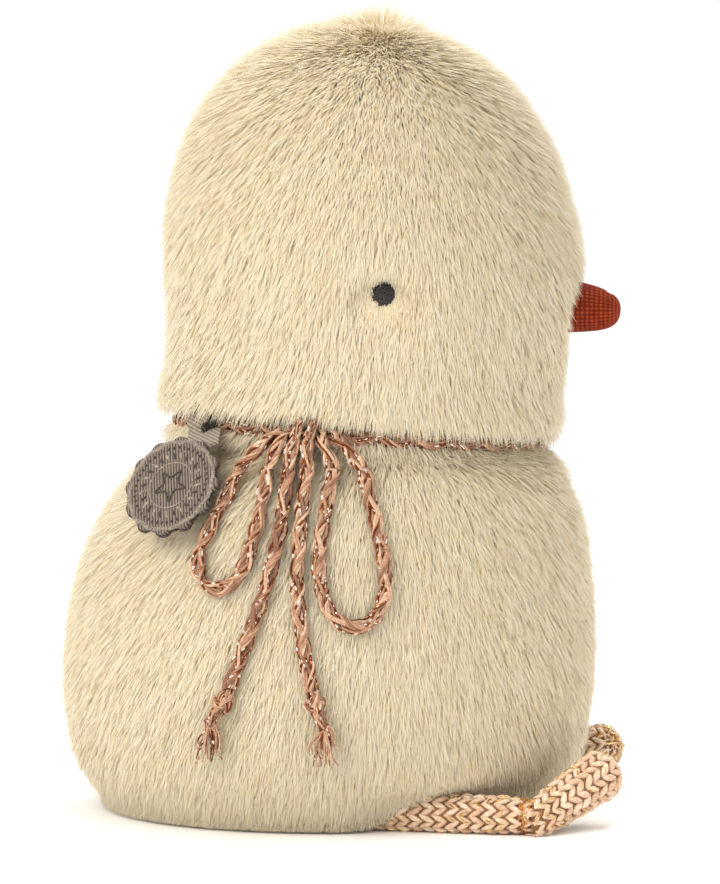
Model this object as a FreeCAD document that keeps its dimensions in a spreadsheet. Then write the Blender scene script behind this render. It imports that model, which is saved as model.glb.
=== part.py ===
import FreeCAD, Part
import Sketcher
import math
import os

# A sewn plush chick that stands on a flat base and two knitted feet. Millimetres.
# +X is where the beak points, +Z is up, +Y is the chick's left. The origin is on the
# base's rest face, under the neck. The head and the torso are two stuffed shells of
# pile fabric that meet at a cinched neck, whose plane dips towards the beak.

V = FreeCAD.Vector
UP = V(0, 0, 1)
SIDES = (("right", -1), ("left", 1))

SIZES = {
    # torso, over the firm part of the pile
    "body_length": 104.8,
    "body_width": 95.0,
    "plush_thickness": 6.0,
    "base_length": 58.0,
    "base_width": 52.0,
    "base_thickness": 5.0,
    # neck: the plane where the cord draws the fabric in
    "neck_height": 75.9,
    "neck_forward": 2.7,
    "neck_tilt": 4.45,
    "neck_radius": 33.6,
    # head
    "head_height": 81.8,
    "head_length": 81.8,
    "head_width": 77.8,
    "sewing_gap": 0.3,
    # beak
    "beak_height": 101.5,
    "beak_radius": 5.5,
    "beak_tip_radius": 4.1,
    "beak_length": 15.7,
    "beak_rounding": 3.4,
    "beak_inset": 2.3,
    "beak_wall": 0.8,
    # eyes
    "eye_height": 103.3,
    "eye_forward": 10.5,
    "eye_length": 5.0,
    "eye_tall": 5.2,
    "eye_depth": 3.4,
    "eye_thread": 1.0,
    # filling
    "pouch_length": 50.0,
    "pouch_width": 42.0,
    "pouch_tall": 20.0,
    "pouch_wall": 0.8,
    # neck cord and bow
    "cord_diameter": 3.1,
    "knot_length": 13.0,
    "knot_radius": 2.8,
    "knot_stand_out": 2.2,
    "tail_knot_diameter": 5.2,
    "fray_length": 8.5,
    "fray_width": 4.6,
    # label
    "label_radius": 9.3,
    "label_lobe_radius": 1.9,
    "label_thickness": 0.8,
    "backing_thickness": 0.5,
    "backing_margin": 0.3,
    "ribbon_width": 7.0,
    "ribbon_thickness": 0.6,
    "tack_diameter": 0.6,
    # feet
    "foot_radius": 3.5,
    "toe_radius": 4.4,
    "knit_wall": 1.0,
    "foot_root_forward": 8.0,
    "foot_root_aside": 32.5,
    "binding_forward": 37.5,
    "binding_aside": 36.0,
    "binding_wire": 0.9,
    "toe_reach": 16.6,
    "toe_heading": 49.0,
    "toe_rise": 21.0,
}

# Torso below the neck lip: share of the neck's height, half length and half width as
# shares of the body's, shift of the centre forward, and share of the neck's tilt.
TORSO_RINGS = (
    (0.000, 0.706, 0.716, -3.9, 0.0),
    (0.020, 0.782, 0.790, -3.9, 0.0),
    (0.066, 0.863, 0.870, -3.9, 0.0),
    (0.158, 0.954, 0.960, -3.7, 0.0),
    (0.316, 1.000, 1.000, -3.5, 0.0),
    (0.474, 1.000, 1.000, -3.0, 0.0),
    (0.632, 0.969, 0.968, -2.2, 0.1),
    (0.764, 0.914, 0.918, -0.8, 0.3),
    (0.856, 0.847, 0.867, 0.5, 0.55),
)
# Neck lip, the same above and below: distance from the neck's plane and how far the
# surface stands out past the neck's own radius. It is round, so that the head turns.
NECK_LIP = ((0.15, 0.0), (1.4, 0.25), (2.8, 1.5), (3.9, 4.1))
# Head above the lip: share of its height, half length and half width as shares of the
# head's, and shift forward, all measured square to the neck's plane.
HEAD_RINGS = (
    (0.070, 0.961, 0.995, 0.0),
    (0.100, 0.966, 0.990, 0.2),
    (0.171, 0.961, 0.975, 0.4),
    (0.269, 0.980, 0.985, 0.8),
    (0.391, 1.000, 1.000, 0.4),
    (0.513, 0.995, 0.995, -0.2),
    (0.636, 0.936, 0.936, -1.1),
    (0.733, 0.861, 0.861, -1.7),
    (0.807, 0.770, 0.770, -2.1),
    (0.880, 0.643, 0.643, -2.3),
    (0.929, 0.513, 0.513, -2.6),
    (0.972, 0.342, 0.342, -2.9),
    (1.000, 0.160, 0.160, -3.0),
)

# Routes of the bow's hanging cords, chosen by hand, each from the bow's lower edge.
REAR_LOOP = (
    (-16.5, -38.9, 69.9),
    (-20.5, -40.8, 61.9),
    (-23.5, -42.1, 55.6),
    (-24.6, -43.2, 50.8),
    (-22.4, -45.1, 47.4),
    (-18.4, -46.2, 47.2),
    (-15.2, -46.4, 50.3),
    (-13.4, -45.3, 56.3),
    (-11.9, -43.3, 62.6),
    (-11.0, -40.9, 70.0),
)
FRONT_LOOP = (
    (1.7, -42.2, 69.8),
    (0.4, -44.1, 63.0),
    (-0.6, -46.5, 56.0),
    (-0.6, -48.0, 49.4),
    (1.0, -49.0, 43.6),
    (4.6, -49.2, 40.2),
    (9.0, -48.3, 40.8),
    (11.7, -47.2, 44.8),
    (12.1, -46.3, 50.6),
    (10.6, -45.0, 57.4),
    (8.9, -43.4, 63.6),
    (7.2, -42.0, 69.8),
)
REAR_TAIL = (
    (-7.1, -41.5, 69.8),
    (-7.6, -44.1, 62.6),
    (-8.9, -46.5, 54.6),
    (-11.0, -48.1, 46.4),
    (-14.0, -48.8, 38.0),
    (-17.6, -48.6, 28.6),
)
FRONT_TAIL = (
    (-3.4, -42.0, 69.8),
    (-4.1, -44.4, 62.8),
    (-4.6, -47.0, 55.0),
    (-4.6, -48.9, 46.6),
    (-3.6, -50.0, 37.8),
    (-1.6, -50.6, 28.6),
)
ARC_SHARE = 0.45  # of the shorter run that each bend of a cord takes
STUB_GAP = 0.35  # left under the bow, so that a cord's end turns freely
LABEL_AZIMUTH = 49.8  # where the ribbon goes round the neck cord, from -Y towards -X
LABEL_CENTRE = V(-29.7, -38.3, 66.3)
LABEL_UP = V(0.572, 0.172, 0.802)
LABEL_FACE = V(-0.389, -0.804, 0.450)
LABEL_LOBES = 12
STUB_GATHER = 0.35  # how far the stubs draw together inside the knot
RING_ROOM = "Sizes.ribbon_thickness + 2 * Sizes.sewing_gap"  # left inside the neck cord
TACK_STEPS = 2  # tack diameters from the ribbon's edge to the tack
BINDING_TURNS = 2
BINDING_PITCH = 0.6  # of the thread's diameter, from one turn to the next
CHANNEL_DROP = 4.0  # opens the foot channels downwards
CHANNEL_OUT = 5.0  # opens them outwards, where the feet show
OVERLAP = 1.0  # how far a cutting tool passes the face that it cuts
SOCKET_REACH = 3  # shell thicknesses that the beak's socket runs through
HALF_SPACE = 400.0

doc = FreeCAD.newDocument("plush_chick")
sheet = doc.addObject("Spreadsheet::Sheet", "Sizes")
parts = []


def fill_sheet():
    """Writes each driving size with its alias."""
    for row, (name, value) in enumerate(SIZES.items(), start=1):
        sheet.set("A%d" % row, name)
        sheet.set("B%d" % row, "%g" % value)
        sheet.setAlias("B%d" % row, name)
    doc.recompute()


def size(name):
    return float(sheet.get(name))


def add(kind, name, **bound):
    """Makes an object whose properties are bound to the sheet by expressions."""
    made = doc.addObject(kind, name)
    for prop, expression in bound.items():
        made.setExpression(prop, expression)
    return made


def keep(made, label):
    """Marks an object as a finished sub-part with its own label."""
    made.Label = label
    parts.append(made)
    return made


def cut(name, base, *tools):
    """Base less each tool, one Part::Cut after another."""
    result = base
    for number, tool in enumerate(tools):
        step = doc.addObject("Part::Cut", "%s_cut%d" % (name, number))
        step.Base = result
        step.Tool = tool
        result = step
    return result


def fuse(name, *shapes):
    made = doc.addObject("Part::MultiFuse", name)
    made.Shapes = list(shapes)
    return made


def common(name, first, second):
    made = doc.addObject("Part::MultiCommon", name)
    made.Shapes = [first, second]
    return made


def turn_to(direction):
    """The rotation that brings +Z onto a direction."""
    return FreeCAD.Rotation(UP, direction)


# --- the neck's own frame ------------------------------------------------------------


def neck_centre():
    return V(size("neck_forward"), 0, size("neck_height"))


def neck_rotation():
    return FreeCAD.Rotation(V(0, 1, 0), size("neck_tilt"))


def from_neck(forward, aside, along):
    """A point given in the neck's frame."""
    return neck_centre() + neck_rotation().multVec(V(forward, aside, along))


# --- stuffed shells ------------------------------------------------------------------


def oval(name, centre, rotation, length, width):
    """One closed section with its half length along X and its half width along Y.
    The ellipse object asks for its longer half axis first, so a wide one is turned."""
    made = doc.addObject("Part::Ellipse", name)
    wide = made.evalExpression(width) > made.evalExpression(length)
    if wide:
        length, width = width, length
        rotation = rotation.multiply(FreeCAD.Rotation(UP, 90))
    made.Placement = FreeCAD.Placement(centre, rotation)
    made.setExpression("MajorRadius", length)
    made.setExpression("MinorRadius", width)
    return made


def loft(name, rings):
    made = doc.addObject("Part::Loft", name)
    made.Sections = rings
    made.Solid = True
    made.Ruled = False
    return made


def half(alias, share, inset):
    """Half of an overall size, times a ring's share of it, less the inset."""
    return "Sizes.%s * %g / 2 - (%s)" % (alias, share, inset)


def lip_rings(name, inset, below):
    """The round sections of the cinched neck, on one side of its plane."""
    rings = []
    for number, (away, stand_out) in enumerate(NECK_LIP):
        radius = "Sizes.neck_radius + %g - (%s)" % (stand_out, inset)
        centre = from_neck(0, 0, -away if below else away)
        label = "%s_lip%d" % (name, number)
        rings.append(oval(label, centre, neck_rotation(), radius, radius))
    return rings


def torso_loft(name, inset, lift=0.0):
    """The torso's surface, inset inwards, with its lowest section lifted off the base."""
    rings = []
    for number, (height, length, width, shift, lean) in enumerate(TORSO_RINGS):
        z = lift + height * (size("neck_height") - lift)
        rings.append(
            oval(
                "%s_ring%d" % (name, number),
                V(shift, 0, z),
                FreeCAD.Rotation(V(0, 1, 0), size("neck_tilt") * lean),
                half("body_length", length, inset),
                half("body_width", width, inset),
            )
        )
    return loft(name, rings + lip_rings(name, inset, below=True)[::-1])


def head_loft(name, inset, crown=0.0):
    """The head's surface, inset inwards, with its crown that much lower."""
    rings = lip_rings(name, inset, below=False)
    for number, (height, length, width, shift) in enumerate(HEAD_RINGS):
        thinner = "(%s) * %g" % (inset, length)
        rings.append(
            oval(
                "%s_ring%d" % (name, number),
                from_neck(shift, 0, height * (size("head_height") - crown)),
                neck_rotation(),
                half("head_length", length, thinner),
                half("head_width", width, thinner),
            )
        )
    return loft(name, rings)


def half_space(name, side):
    """A large box on one side of the middle plane."""
    made = doc.addObject("Part::Box", name)
    made.Length = made.Width = made.Height = HALF_SPACE
    edge = 0 if side > 0 else -HALF_SPACE
    made.Placement.Base = V(-HALF_SPACE / 2, edge, -HALF_SPACE / 2)
    return made


# --- small solids --------------------------------------------------------------------


def ellipsoid(name, centre, forward, aside, tall):
    """An ellipsoid from the expressions of its three full sizes."""
    made = add(
        "Part::Ellipsoid",
        name,
        Radius1="(%s) / 2" % tall,
        Radius2="(%s) / 2" % forward,
        Radius3="(%s) / 2" % aside,
    )
    made.Angle1 = -90
    made.Placement.Base = centre
    return made


def rod(name, start, direction, radius, length):
    """A cylinder from a point, along a direction. Its length may be a plain number."""
    made = add("Part::Cylinder", name, Radius=radius)
    if isinstance(length, str):
        made.setExpression("Height", length)
    else:
        made.Height = length
    made.Placement = FreeCAD.Placement(start, turn_to(direction))
    return made


def ball(name, centre, radius):
    made = add("Part::Sphere", name, Radius=radius)
    made.Placement.Base = centre
    return made


def capsule(name, start, end, start_radius, end_radius):
    """A round-ended length of stuffed cord, which may widen towards its end."""
    reach = end - start
    body = add("Part::Cone", name + "_body", Radius1=start_radius, Radius2=end_radius)
    body.Height = reach.Length
    body.Placement = FreeCAD.Placement(start, turn_to(reach))
    ends = (
        ball(name + "_start", start, start_radius),
        ball(name + "_end", end, end_radius),
    )
    return fuse(name, body, *ends)


def torus(name, centre, axis, radius, wire_radius):
    made = add("Part::Torus", name, Radius1=radius, Radius2=wire_radius)
    made.Placement = FreeCAD.Placement(centre, turn_to(axis))
    return made


# --- cords ---------------------------------------------------------------------------


def cord_path(points):
    """Straight runs joined by tangent arcs. Returns the wire and its tightest radius."""
    edges = []
    tightest = math.inf
    last = points[0]
    for before, corner, after in zip(points, points[1:], points[2:]):
        run_in = corner - before
        run_out = after - corner
        cutback = ARC_SHARE * min(run_in.Length, run_out.Length)
        half_turn = run_in.getAngle(run_out) / 2
        radius = cutback / math.tan(half_turn)
        into = run_in.normalize()
        out = run_out.normalize()
        arc_start = corner - into * cutback
        arc_end = corner + out * cutback
        inward = (out - into).normalize()
        middle = corner + inward * (radius / math.cos(half_turn) - radius)
        edges.append(Part.LineSegment(last, arc_start).toShape())
        edges.append(Part.Arc(arc_start, middle, arc_end).toShape())
        last = arc_end
        tightest = min(tightest, radius)
    edges.append(Part.LineSegment(last, points[-1]).toShape())
    return Part.Wire(edges), tightest


def cord_solid(label, route):
    """The tube of a hanging cord. Its path has no counterpart among the primitives."""
    points = [V(*point) for point in route]
    wire, tightest = cord_path(points)
    radius = size("cord_diameter") / 2
    profile = Part.Wire(Part.makeCircle(radius, points[0], points[1] - points[0]))
    tube = wire.makePipeShell([profile], True, False)
    expected = math.pi * radius**2 * wire.Length
    print(
        "%s: length %.1f, tightest radius %.1f, volume %.3f of section times length"
        % (label, wire.Length, tightest, tube.Volume / expected)
    )
    made = doc.addObject("Part::Feature", label)
    made.Shape = tube
    return keep(made, label)


def end_of(route):
    """The last point of a route and the direction in which the cord arrives there."""
    last = V(*route[-1])
    return last, (last - V(*route[-2])).normalize()


# --- torso ---------------------------------------------------------------------------


def foot_points(side):
    """The root, the bound end of the foot, the toe's root and its tip."""
    radius = size("foot_radius")
    root = V(size("foot_root_forward"), side * size("foot_root_aside"), radius)
    binding = V(size("binding_forward"), side * size("binding_aside"), radius)
    reach = V(radius + size("sewing_gap") / 2, 0, 0)
    heading = math.radians(size("toe_heading"))
    rise = math.radians(size("toe_rise"))
    flat = V(math.cos(heading), -side * math.sin(heading), 0)
    toe_root = binding + reach
    tip = toe_root + (flat * math.cos(rise) + UP * math.sin(rise)) * size("toe_reach")
    return root, binding - reach, toe_root, tip


def foot_channels():
    """The room that the soft underside leaves for both feet."""
    wide = "Sizes.foot_radius + Sizes.sewing_gap"
    channels = []
    for name, side in SIDES:
        root, bound, _, _ = foot_points(side)
        drop = UP * -CHANNEL_DROP
        out = V(0, side * CHANNEL_OUT, 0)
        for part, shift in (("channel_", V()), ("trough_", drop), ("side_", out), ("corner_", out + drop)):
            channels.append(capsule(part + name, root + shift, bound + shift, wide, wide))
    return fuse("foot_channels", *channels)


def base_opening(name, inset, foot, tall):
    """The oval prism of the base panel or of its opening."""
    outline = oval(
        name + "_outline",
        V(TORSO_RINGS[0][3], 0, foot),
        FreeCAD.Rotation(),
        "Sizes.base_length / 2 - (%s)" % inset,
        "Sizes.base_width / 2 - (%s)" % inset,
    )
    made = doc.addObject("Part::Extrusion", name)
    made.Base = outline
    made.DirMode = "Custom"
    made.Dir = UP
    made.Solid = True
    made.setExpression("LengthFwd", tall)
    return made


def make_torso():
    cavity_floor = size("base_thickness") + size("sewing_gap")
    channels = foot_channels()
    surface = torso_loft("torso_surface", "0")
    cavity = torso_loft("torso_cavity", "Sizes.plush_thickness", cavity_floor)
    opening = base_opening("base_opening", "0", -OVERLAP, "Sizes.base_thickness + %g" % (2 * OVERLAP))
    shell = cut("torso_shell", surface, cavity, opening, channels)
    for name, side in SIDES:
        panel = common("torso_" + name, shell, half_space("torso_space_" + name, side))
        keep(panel, "torso_panel_" + name)
    disc = base_opening("base_disc", "Sizes.sewing_gap", 0.0, "Sizes.base_thickness")
    keep(cut("base", disc, channels), "base_panel")
    inset = "Sizes.plush_thickness + Sizes.sewing_gap"
    filling = torso_loft("torso_filling", inset, cavity_floor + size("sewing_gap"))
    make_filling(filling, channels)


def make_filling(filling, channels):
    """The torso's wadding, with a pouch of pellets low down for weight."""
    gap = "2 * Sizes.sewing_gap"
    wall = "2 * Sizes.pouch_wall"
    low = size("foot_radius") * 2 + 2 * size("sewing_gap")
    centre = V(TORSO_RINGS[0][3], 0, low + size("pouch_tall") / 2)
    sizes = ["Sizes.pouch_length", "Sizes.pouch_width", "Sizes.pouch_tall"]
    nest = ellipsoid("pouch_nest", centre, *["%s + %s" % (s, gap) for s in sizes])
    keep(cut("wadding", filling, channels, nest), "torso_stuffing")
    outer = ellipsoid("pouch_outer", centre, *sizes)
    inner = ellipsoid("pouch_inner", centre, *["%s - %s" % (s, wall) for s in sizes])
    keep(cut("pouch", outer, inner), "pellet_pouch")
    heap_sizes = ["%s - %s - %s" % (s, wall, gap) for s in sizes]
    keep(ellipsoid("pellet_heap", centre, *heap_sizes), "pellet_fill")


# --- head ----------------------------------------------------------------------------


def beak_solid(name, inset, shorter):
    """A blunt cone along +X with a rounded tip, inset inwards."""
    root = V(beak_root_forward(), 0, size("beak_height"))
    cone = add(
        "Part::Cone",
        name + "_cone",
        Radius1="Sizes.beak_radius - (%s)" % inset,
        Radius2="Sizes.beak_tip_radius - (%s)" % inset,
        Height="Sizes.beak_length - (%s)" % shorter,
    )
    cone.Placement = FreeCAD.Placement(root, turn_to(V(1, 0, 0)))
    doc.recompute()
    made = doc.addObject("Part::Fillet", name)
    made.Base = cone
    rounding = size("beak_rounding") - cone.evalExpression(inset)
    tip_edge = 1 + max(range(len(cone.Shape.Edges)), key=lambda i: cone.Shape.Edges[i].CenterOfMass.x)
    made.Edges = [(tip_edge, rounding, rounding)]
    return made


def beak_root_forward():
    """The beak starts inside the head's front, so that the pile hides its seam."""
    front = size("neck_forward") + size("head_length") / 2
    return front - size("plush_thickness") + size("beak_inset")


def beak_socket():
    """The hole in the head's front that the beak is sewn into."""
    start = V(beak_root_forward() - size("sewing_gap"), 0, size("beak_height"))
    radius = "Sizes.beak_radius + Sizes.sewing_gap"
    return rod("beak_socket", start, V(1, 0, 0), radius, "Sizes.plush_thickness * %d" % SOCKET_REACH)


def eye_aside():
    """How far out the head's side is, where the eyes sit."""
    probe = size("head_width") / 2
    forward = size("eye_forward") - size("neck_forward")
    share = forward / (size("head_length") / 2)
    return probe * math.sqrt(1 - share**2)


def eye_centre(side):
    inward = size("eye_depth") / 2 + size("sewing_gap")
    aside = side * (eye_aside() - inward)
    return V(size("eye_forward"), aside, size("eye_height"))


def eye_solid(name, side, extra):
    sizes = ["Sizes.%s + %s" % (s, extra) for s in ("eye_length", "eye_depth", "eye_tall")]
    return ellipsoid(name, eye_centre(side), *sizes)


def eye_dimple(name, side):
    """The room round an eye, open to the outside."""
    room = eye_solid("dimple_" + name, side, "2 * Sizes.sewing_gap")
    radius = "Sizes.eye_length / 2 + Sizes.sewing_gap"
    mouth = rod("mouth_" + name, eye_centre(side), V(0, side, 0), radius, "Sizes.plush_thickness")
    return fuse("eye_room_" + name, room, mouth)


def thread_between_eyes(name, extra):
    """The thread that ties the eyes together through the head and draws them in."""
    start = eye_centre(-1) + V(0, size("eye_depth") / 2, 0)
    end = eye_centre(1) - V(0, size("eye_depth") / 2, 0)
    reach = end - start
    return rod(name, start, reach, "Sizes.eye_thread / 2 + %s" % extra, reach.Length)


def make_head():
    surface = head_loft("head_surface", "0")
    cavity = head_loft("head_cavity", "Sizes.plush_thickness", size("plush_thickness"))
    socket = beak_socket()
    bore = thread_between_eyes("thread_bore", "Sizes.sewing_gap")
    rooms = [eye_dimple(name, side) for name, side in SIDES]
    shell = cut("head_shell", surface, cavity, socket, bore, *rooms)
    for name, side in SIDES:
        panel = common("head_" + name, shell, half_space("head_space_" + name, side))
        keep(panel, "head_panel_" + name)
    inset = "Sizes.plush_thickness + Sizes.sewing_gap"
    crown = size("plush_thickness") + size("sewing_gap")
    filling = head_loft("head_filling", inset, crown)
    keep(cut("head_wadding", filling, socket, bore), "head_stuffing")
    cover = beak_solid("beak_outer", "0", "0")
    hollow = beak_solid("beak_hollow", "Sizes.beak_wall", "Sizes.beak_wall")
    keep(cut("beak", cover, hollow), "beak_cover")
    within = "Sizes.beak_wall + Sizes.sewing_gap"
    keep(beak_solid("beak_wadding", within, within), "beak_filling")
    for name, side in SIDES:
        keep(eye_solid("eye_" + name, side, "0"), "eye_" + name)
    keep(thread_between_eyes("eye_thread_rod", "0"), "eye_thread")


# --- neck cord and bow ---------------------------------------------------------------


def cord_ring_radius():
    """The neck cord's middle line, with room for the ribbon between it and the neck."""
    room = sheet.evalExpression(RING_ROOM.replace("Sizes.", ""))
    return size("neck_radius") + float(room) + size("cord_diameter") / 2


def neck_torus(name, wire_radius):
    """A ring on the neck cord's middle line."""
    radius = "Sizes.neck_radius + %s + Sizes.cord_diameter / 2" % RING_ROOM
    return torus(name, neck_centre(), neck_rotation().multVec(UP), radius, wire_radius)


def make_neck_cord():
    keep(neck_torus("neck_ring", "Sizes.cord_diameter / 2"), "neck_cord")


def bow_centre():
    """Over the neck cord, between the cords that hang from the bow."""
    hanging = (REAR_LOOP[0], REAR_LOOP[-1], REAR_TAIL[0])
    hanging += (FRONT_TAIL[0], FRONT_LOOP[0], FRONT_LOOP[-1])
    middle = sum(point[0] for point in hanging) / len(hanging)
    ring = cord_ring_radius()
    forward = middle - size("neck_forward")
    aside = -math.sqrt(ring**2 - forward**2) - size("knot_stand_out")
    drop = forward * math.tan(math.radians(size("neck_tilt")))
    return V(middle, aside, size("neck_height") - drop)


def make_bow():
    """The knot over the neck cord and the short cord stubs that fan out under it."""
    centre = bow_centre()
    along = neck_rotation().multVec(V(size("knot_length") / 2 - size("knot_radius"), 0, 0))
    wide = "Sizes.knot_radius"
    wraps = [capsule("bow_wrap", centre - along, centre + along, wide, wide)]
    radius = "Sizes.cord_diameter / 2"
    clearance = size("cord_diameter") / 2 + STUB_GAP
    roots = (REAR_LOOP[:2], REAR_LOOP[::-1][:2], REAR_TAIL[:2])
    roots += (FRONT_TAIL[:2], FRONT_LOOP[:2], FRONT_LOOP[::-1][:2])
    for number, (first, second) in enumerate(roots):
        end = V(*first)
        back = (end - V(*second)).normalize()
        low = end + back * clearance
        high = centre + V((low.x - centre.x) * STUB_GATHER, 0, 0)
        reach = high - low
        wraps.append(rod("bow_stub%d" % number, low, reach, radius, reach.Length))
    keep(fuse("bow", *wraps), "bow_knot")


def make_tail_end(name, route):
    """The overhand knot that stops a tail and the frayed end below it."""
    end, direction = end_of(route)
    radius = size("tail_knot_diameter") / 2
    centre = end + direction * radius
    width = "Sizes.tail_knot_diameter"
    knot = ellipsoid("stop_" + name, V(0, 0, 0), width, width, width)
    knot.Placement = FreeCAD.Placement(centre, turn_to(direction))
    deep = radius + size("cord_diameter") / 4
    trim = rod("seat_" + name, end - direction * radius, direction, width, deep)
    keep(cut("stop_trimmed_" + name, knot, trim), "tail_knot_" + name)
    fray = add(
        "Part::Cone",
        "fray_" + name,
        Radius1="Sizes.cord_diameter / 2",
        Radius2="Sizes.fray_width / 2",
        Height="Sizes.fray_length",
    )
    start = centre + direction * (radius + size("sewing_gap") / 2)
    fray.Placement = FreeCAD.Placement(start, turn_to(direction))
    keep(fray, "tail_fray_" + name)


def make_hanging_cords():
    cord_solid("bow_loop_rear", REAR_LOOP)
    cord_solid("bow_loop_front", FRONT_LOOP)
    for name, route in (("rear", REAR_TAIL), ("front", FRONT_TAIL)):
        cord_solid("bow_tail_" + name, route)
        make_tail_end(name, route)


# --- label ---------------------------------------------------------------------------


def label_rotation():
    """The label's own frame: X across it, Y up it, Z out of its face."""
    across = LABEL_UP.cross(LABEL_FACE)
    return FreeCAD.Rotation(across, LABEL_UP, LABEL_FACE, "ZXY")


def label_hinge():
    """Where the ribbon goes round the neck cord, and the cord's direction there."""
    turn = math.radians(LABEL_AZIMUTH)
    ring = cord_ring_radius()
    point = from_neck(-ring * math.sin(turn), -ring * math.cos(turn), 0)
    tangent = neck_rotation().multVec(V(-math.cos(turn), math.sin(turn), 0))
    return point, tangent


def plane_of(body, role):
    return next(f for f in body.Origin.OriginFeatures if f.Role == role)


def disc_sketch(body, name, radius, centre=0.0, centre_expression=None):
    """A circle on the body's own XY plane, its radius bound to the sheet."""
    sketch = body.newObject("Sketcher::SketchObject", name)
    sketch.AttachmentSupport = (plane_of(body, "XY_Plane"), [""])
    sketch.MapMode = "FlatFace"
    circle = Part.Circle(V(centre, 0, 0), UP, body.evalExpression(radius))
    sketch.addGeometry(circle, False)
    sketch.addConstraint(Sketcher.Constraint("Radius", 0, circle.Radius))
    sketch.setExpression("Constraints[0]", radius)
    sketch.addConstraint(Sketcher.Constraint("DistanceX", -1, 1, 0, 3, centre))
    sketch.addConstraint(Sketcher.Constraint("DistanceY", -1, 1, 0, 3, 0))
    if centre_expression:
        sketch.setExpression("Constraints[1]", centre_expression)
    return sketch


def pad(body, name, sketch, thickness, downwards):
    made = body.newObject("PartDesign::Pad", name)
    made.Profile = sketch
    made.setExpression("Length", thickness)
    made.Reversed = downwards
    return made


def scalloped_disc(label, thickness, downwards, inset):
    """A round label whose edge is a ring of small lobes."""
    body = doc.addObject("PartDesign::Body", label)
    radius = "Sizes.label_radius - (%s)" % inset
    lobe_radius = "Sizes.label_lobe_radius"
    disc = disc_sketch(body, label + "_disc", radius)
    pad(body, label + "_pad", disc, thickness, downwards)
    centre = body.evalExpression(radius + " - Sizes.label_lobe_radius / 2")
    middle = radius + " - Sizes.label_lobe_radius / 2"
    lobe = disc_sketch(body, label + "_lobe", lobe_radius, centre, middle)
    lobe_pad = pad(body, label + "_lobe_pad", lobe, thickness, downwards)
    ring = body.newObject("PartDesign::PolarPattern", label + "_lobes")
    ring.Originals = [lobe_pad]
    ring.Axis = (plane_of(body, "Z_Axis"), [""])
    ring.Angle = 360
    ring.Occurrences = LABEL_LOBES
    body.Tip = ring
    return body


def make_label():
    pose = FreeCAD.Placement(LABEL_CENTRE, label_rotation())
    front = scalloped_disc("tag_front", "Sizes.label_thickness", False, "0")
    back = scalloped_disc("tag_back", "Sizes.backing_thickness", True, "-Sizes.backing_margin")
    for body in (front, back):
        body.Placement = pose
        keep(body, body.Label)
    make_ribbon(pose)
    make_tack()


def make_ribbon(pose):
    """A band round the neck cord and the doubled strip that runs down to the label."""
    point, tangent = label_hinge()
    inner = "Sizes.cord_diameter / 2 + Sizes.sewing_gap"
    outer = inner + " + Sizes.ribbon_thickness"
    start = point - tangent * (size("ribbon_width") / 2)
    band = rod("ribbon_band", start, tangent, outer, "Sizes.ribbon_width")
    room_length = "Sizes.ribbon_width + %g" % (2 * OVERLAP)
    room = rod("ribbon_room", start - tangent * OVERLAP, tangent, inner, room_length)
    top = pose.multVec(V(0, size("label_radius"), 0))
    reach = top - point
    face = reach.cross(tangent).normalize()
    strip = add("Part::Box", "ribbon_strip", Length="Sizes.ribbon_width")
    strip.setExpression("Width", "Sizes.ribbon_thickness")
    strip.Height = reach.Length
    turn = FreeCAD.Rotation(tangent, face, reach, "ZXY")
    corner = V(-size("ribbon_width") / 2, -size("ribbon_thickness") / 2, 0)
    strip.Placement = FreeCAD.Placement(point + turn.multVec(corner), turn)
    curved_room = neck_torus("ribbon_curve", inner)
    whole = fuse("ribbon_whole", band, strip)
    keep(cut("ribbon", whole, room, curved_room), "tag_ribbon")


def make_tack():
    """The thread that holds the ribbon to the neck cord, a narrow band beside the ribbon."""
    point, tangent = label_hinge()
    inner = "Sizes.cord_diameter / 2 + Sizes.sewing_gap"
    outer = inner + " + Sizes.tack_diameter"
    beside = size("ribbon_width") / 2 + size("tack_diameter") * TACK_STEPS
    start = point - tangent * beside
    band = rod("tack_band", start, tangent, outer, "Sizes.tack_diameter")
    room_length = "Sizes.tack_diameter + %g" % (2 * OVERLAP)
    room = rod("tack_room", start - tangent * OVERLAP, tangent, inner, room_length)
    keep(cut("tack", band, room), "tag_tack")


# --- feet ----------------------------------------------------------------------------


def stuffed_cord(name, label, filling, start, end, start_size, end_size):
    """A knitted cover and the filling inside it."""
    start_radius = "Sizes." + start_size
    end_radius = "Sizes." + end_size
    wall = " - Sizes.knit_wall"
    cover = capsule(name + "_outer", start, end, start_radius, end_radius)
    hollow = capsule(name + "_hollow", start, end, start_radius + wall, end_radius + wall)
    keep(cut(name, cover, hollow), label)
    wall += " - Sizes.sewing_gap"
    core = capsule(name + "_core", start, end, start_radius + wall, end_radius + wall)
    keep(core, filling)


def make_binding(name, side):
    """Thread wound round the foot where the toe turns up."""
    centre = V(size("binding_forward"), side * size("binding_aside"), size("foot_radius"))
    turns = []
    for number in range(BINDING_TURNS):
        shift = (number - (BINDING_TURNS - 1) / 2) * size("binding_wire") * BINDING_PITCH
        wire = "Sizes.binding_wire / 2"
        radius = "Sizes.foot_radius - Sizes.binding_wire"
        place = centre + V(shift, 0, 0)
        turns.append(torus("turn_%s%d" % (name, number), place, V(1, 0, 0), radius, wire))
    return keep(fuse("binding_" + name, *turns), "toe_binding_" + name)


def make_feet():
    for name, side in SIDES:
        root, bound, toe_root, tip = foot_points(side)
        foot = ("foot_" + name, "foot_" + name, "foot_filling_" + name)
        stuffed_cord(*foot, root, bound, "foot_radius", "foot_radius")
        toe = ("toe_" + name, "toe_" + name, "toe_filling_" + name)
        stuffed_cord(*toe, toe_root, tip, "foot_radius", "toe_radius")
        make_binding(name, side)


# --- checks and output ---------------------------------------------------------------


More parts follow.
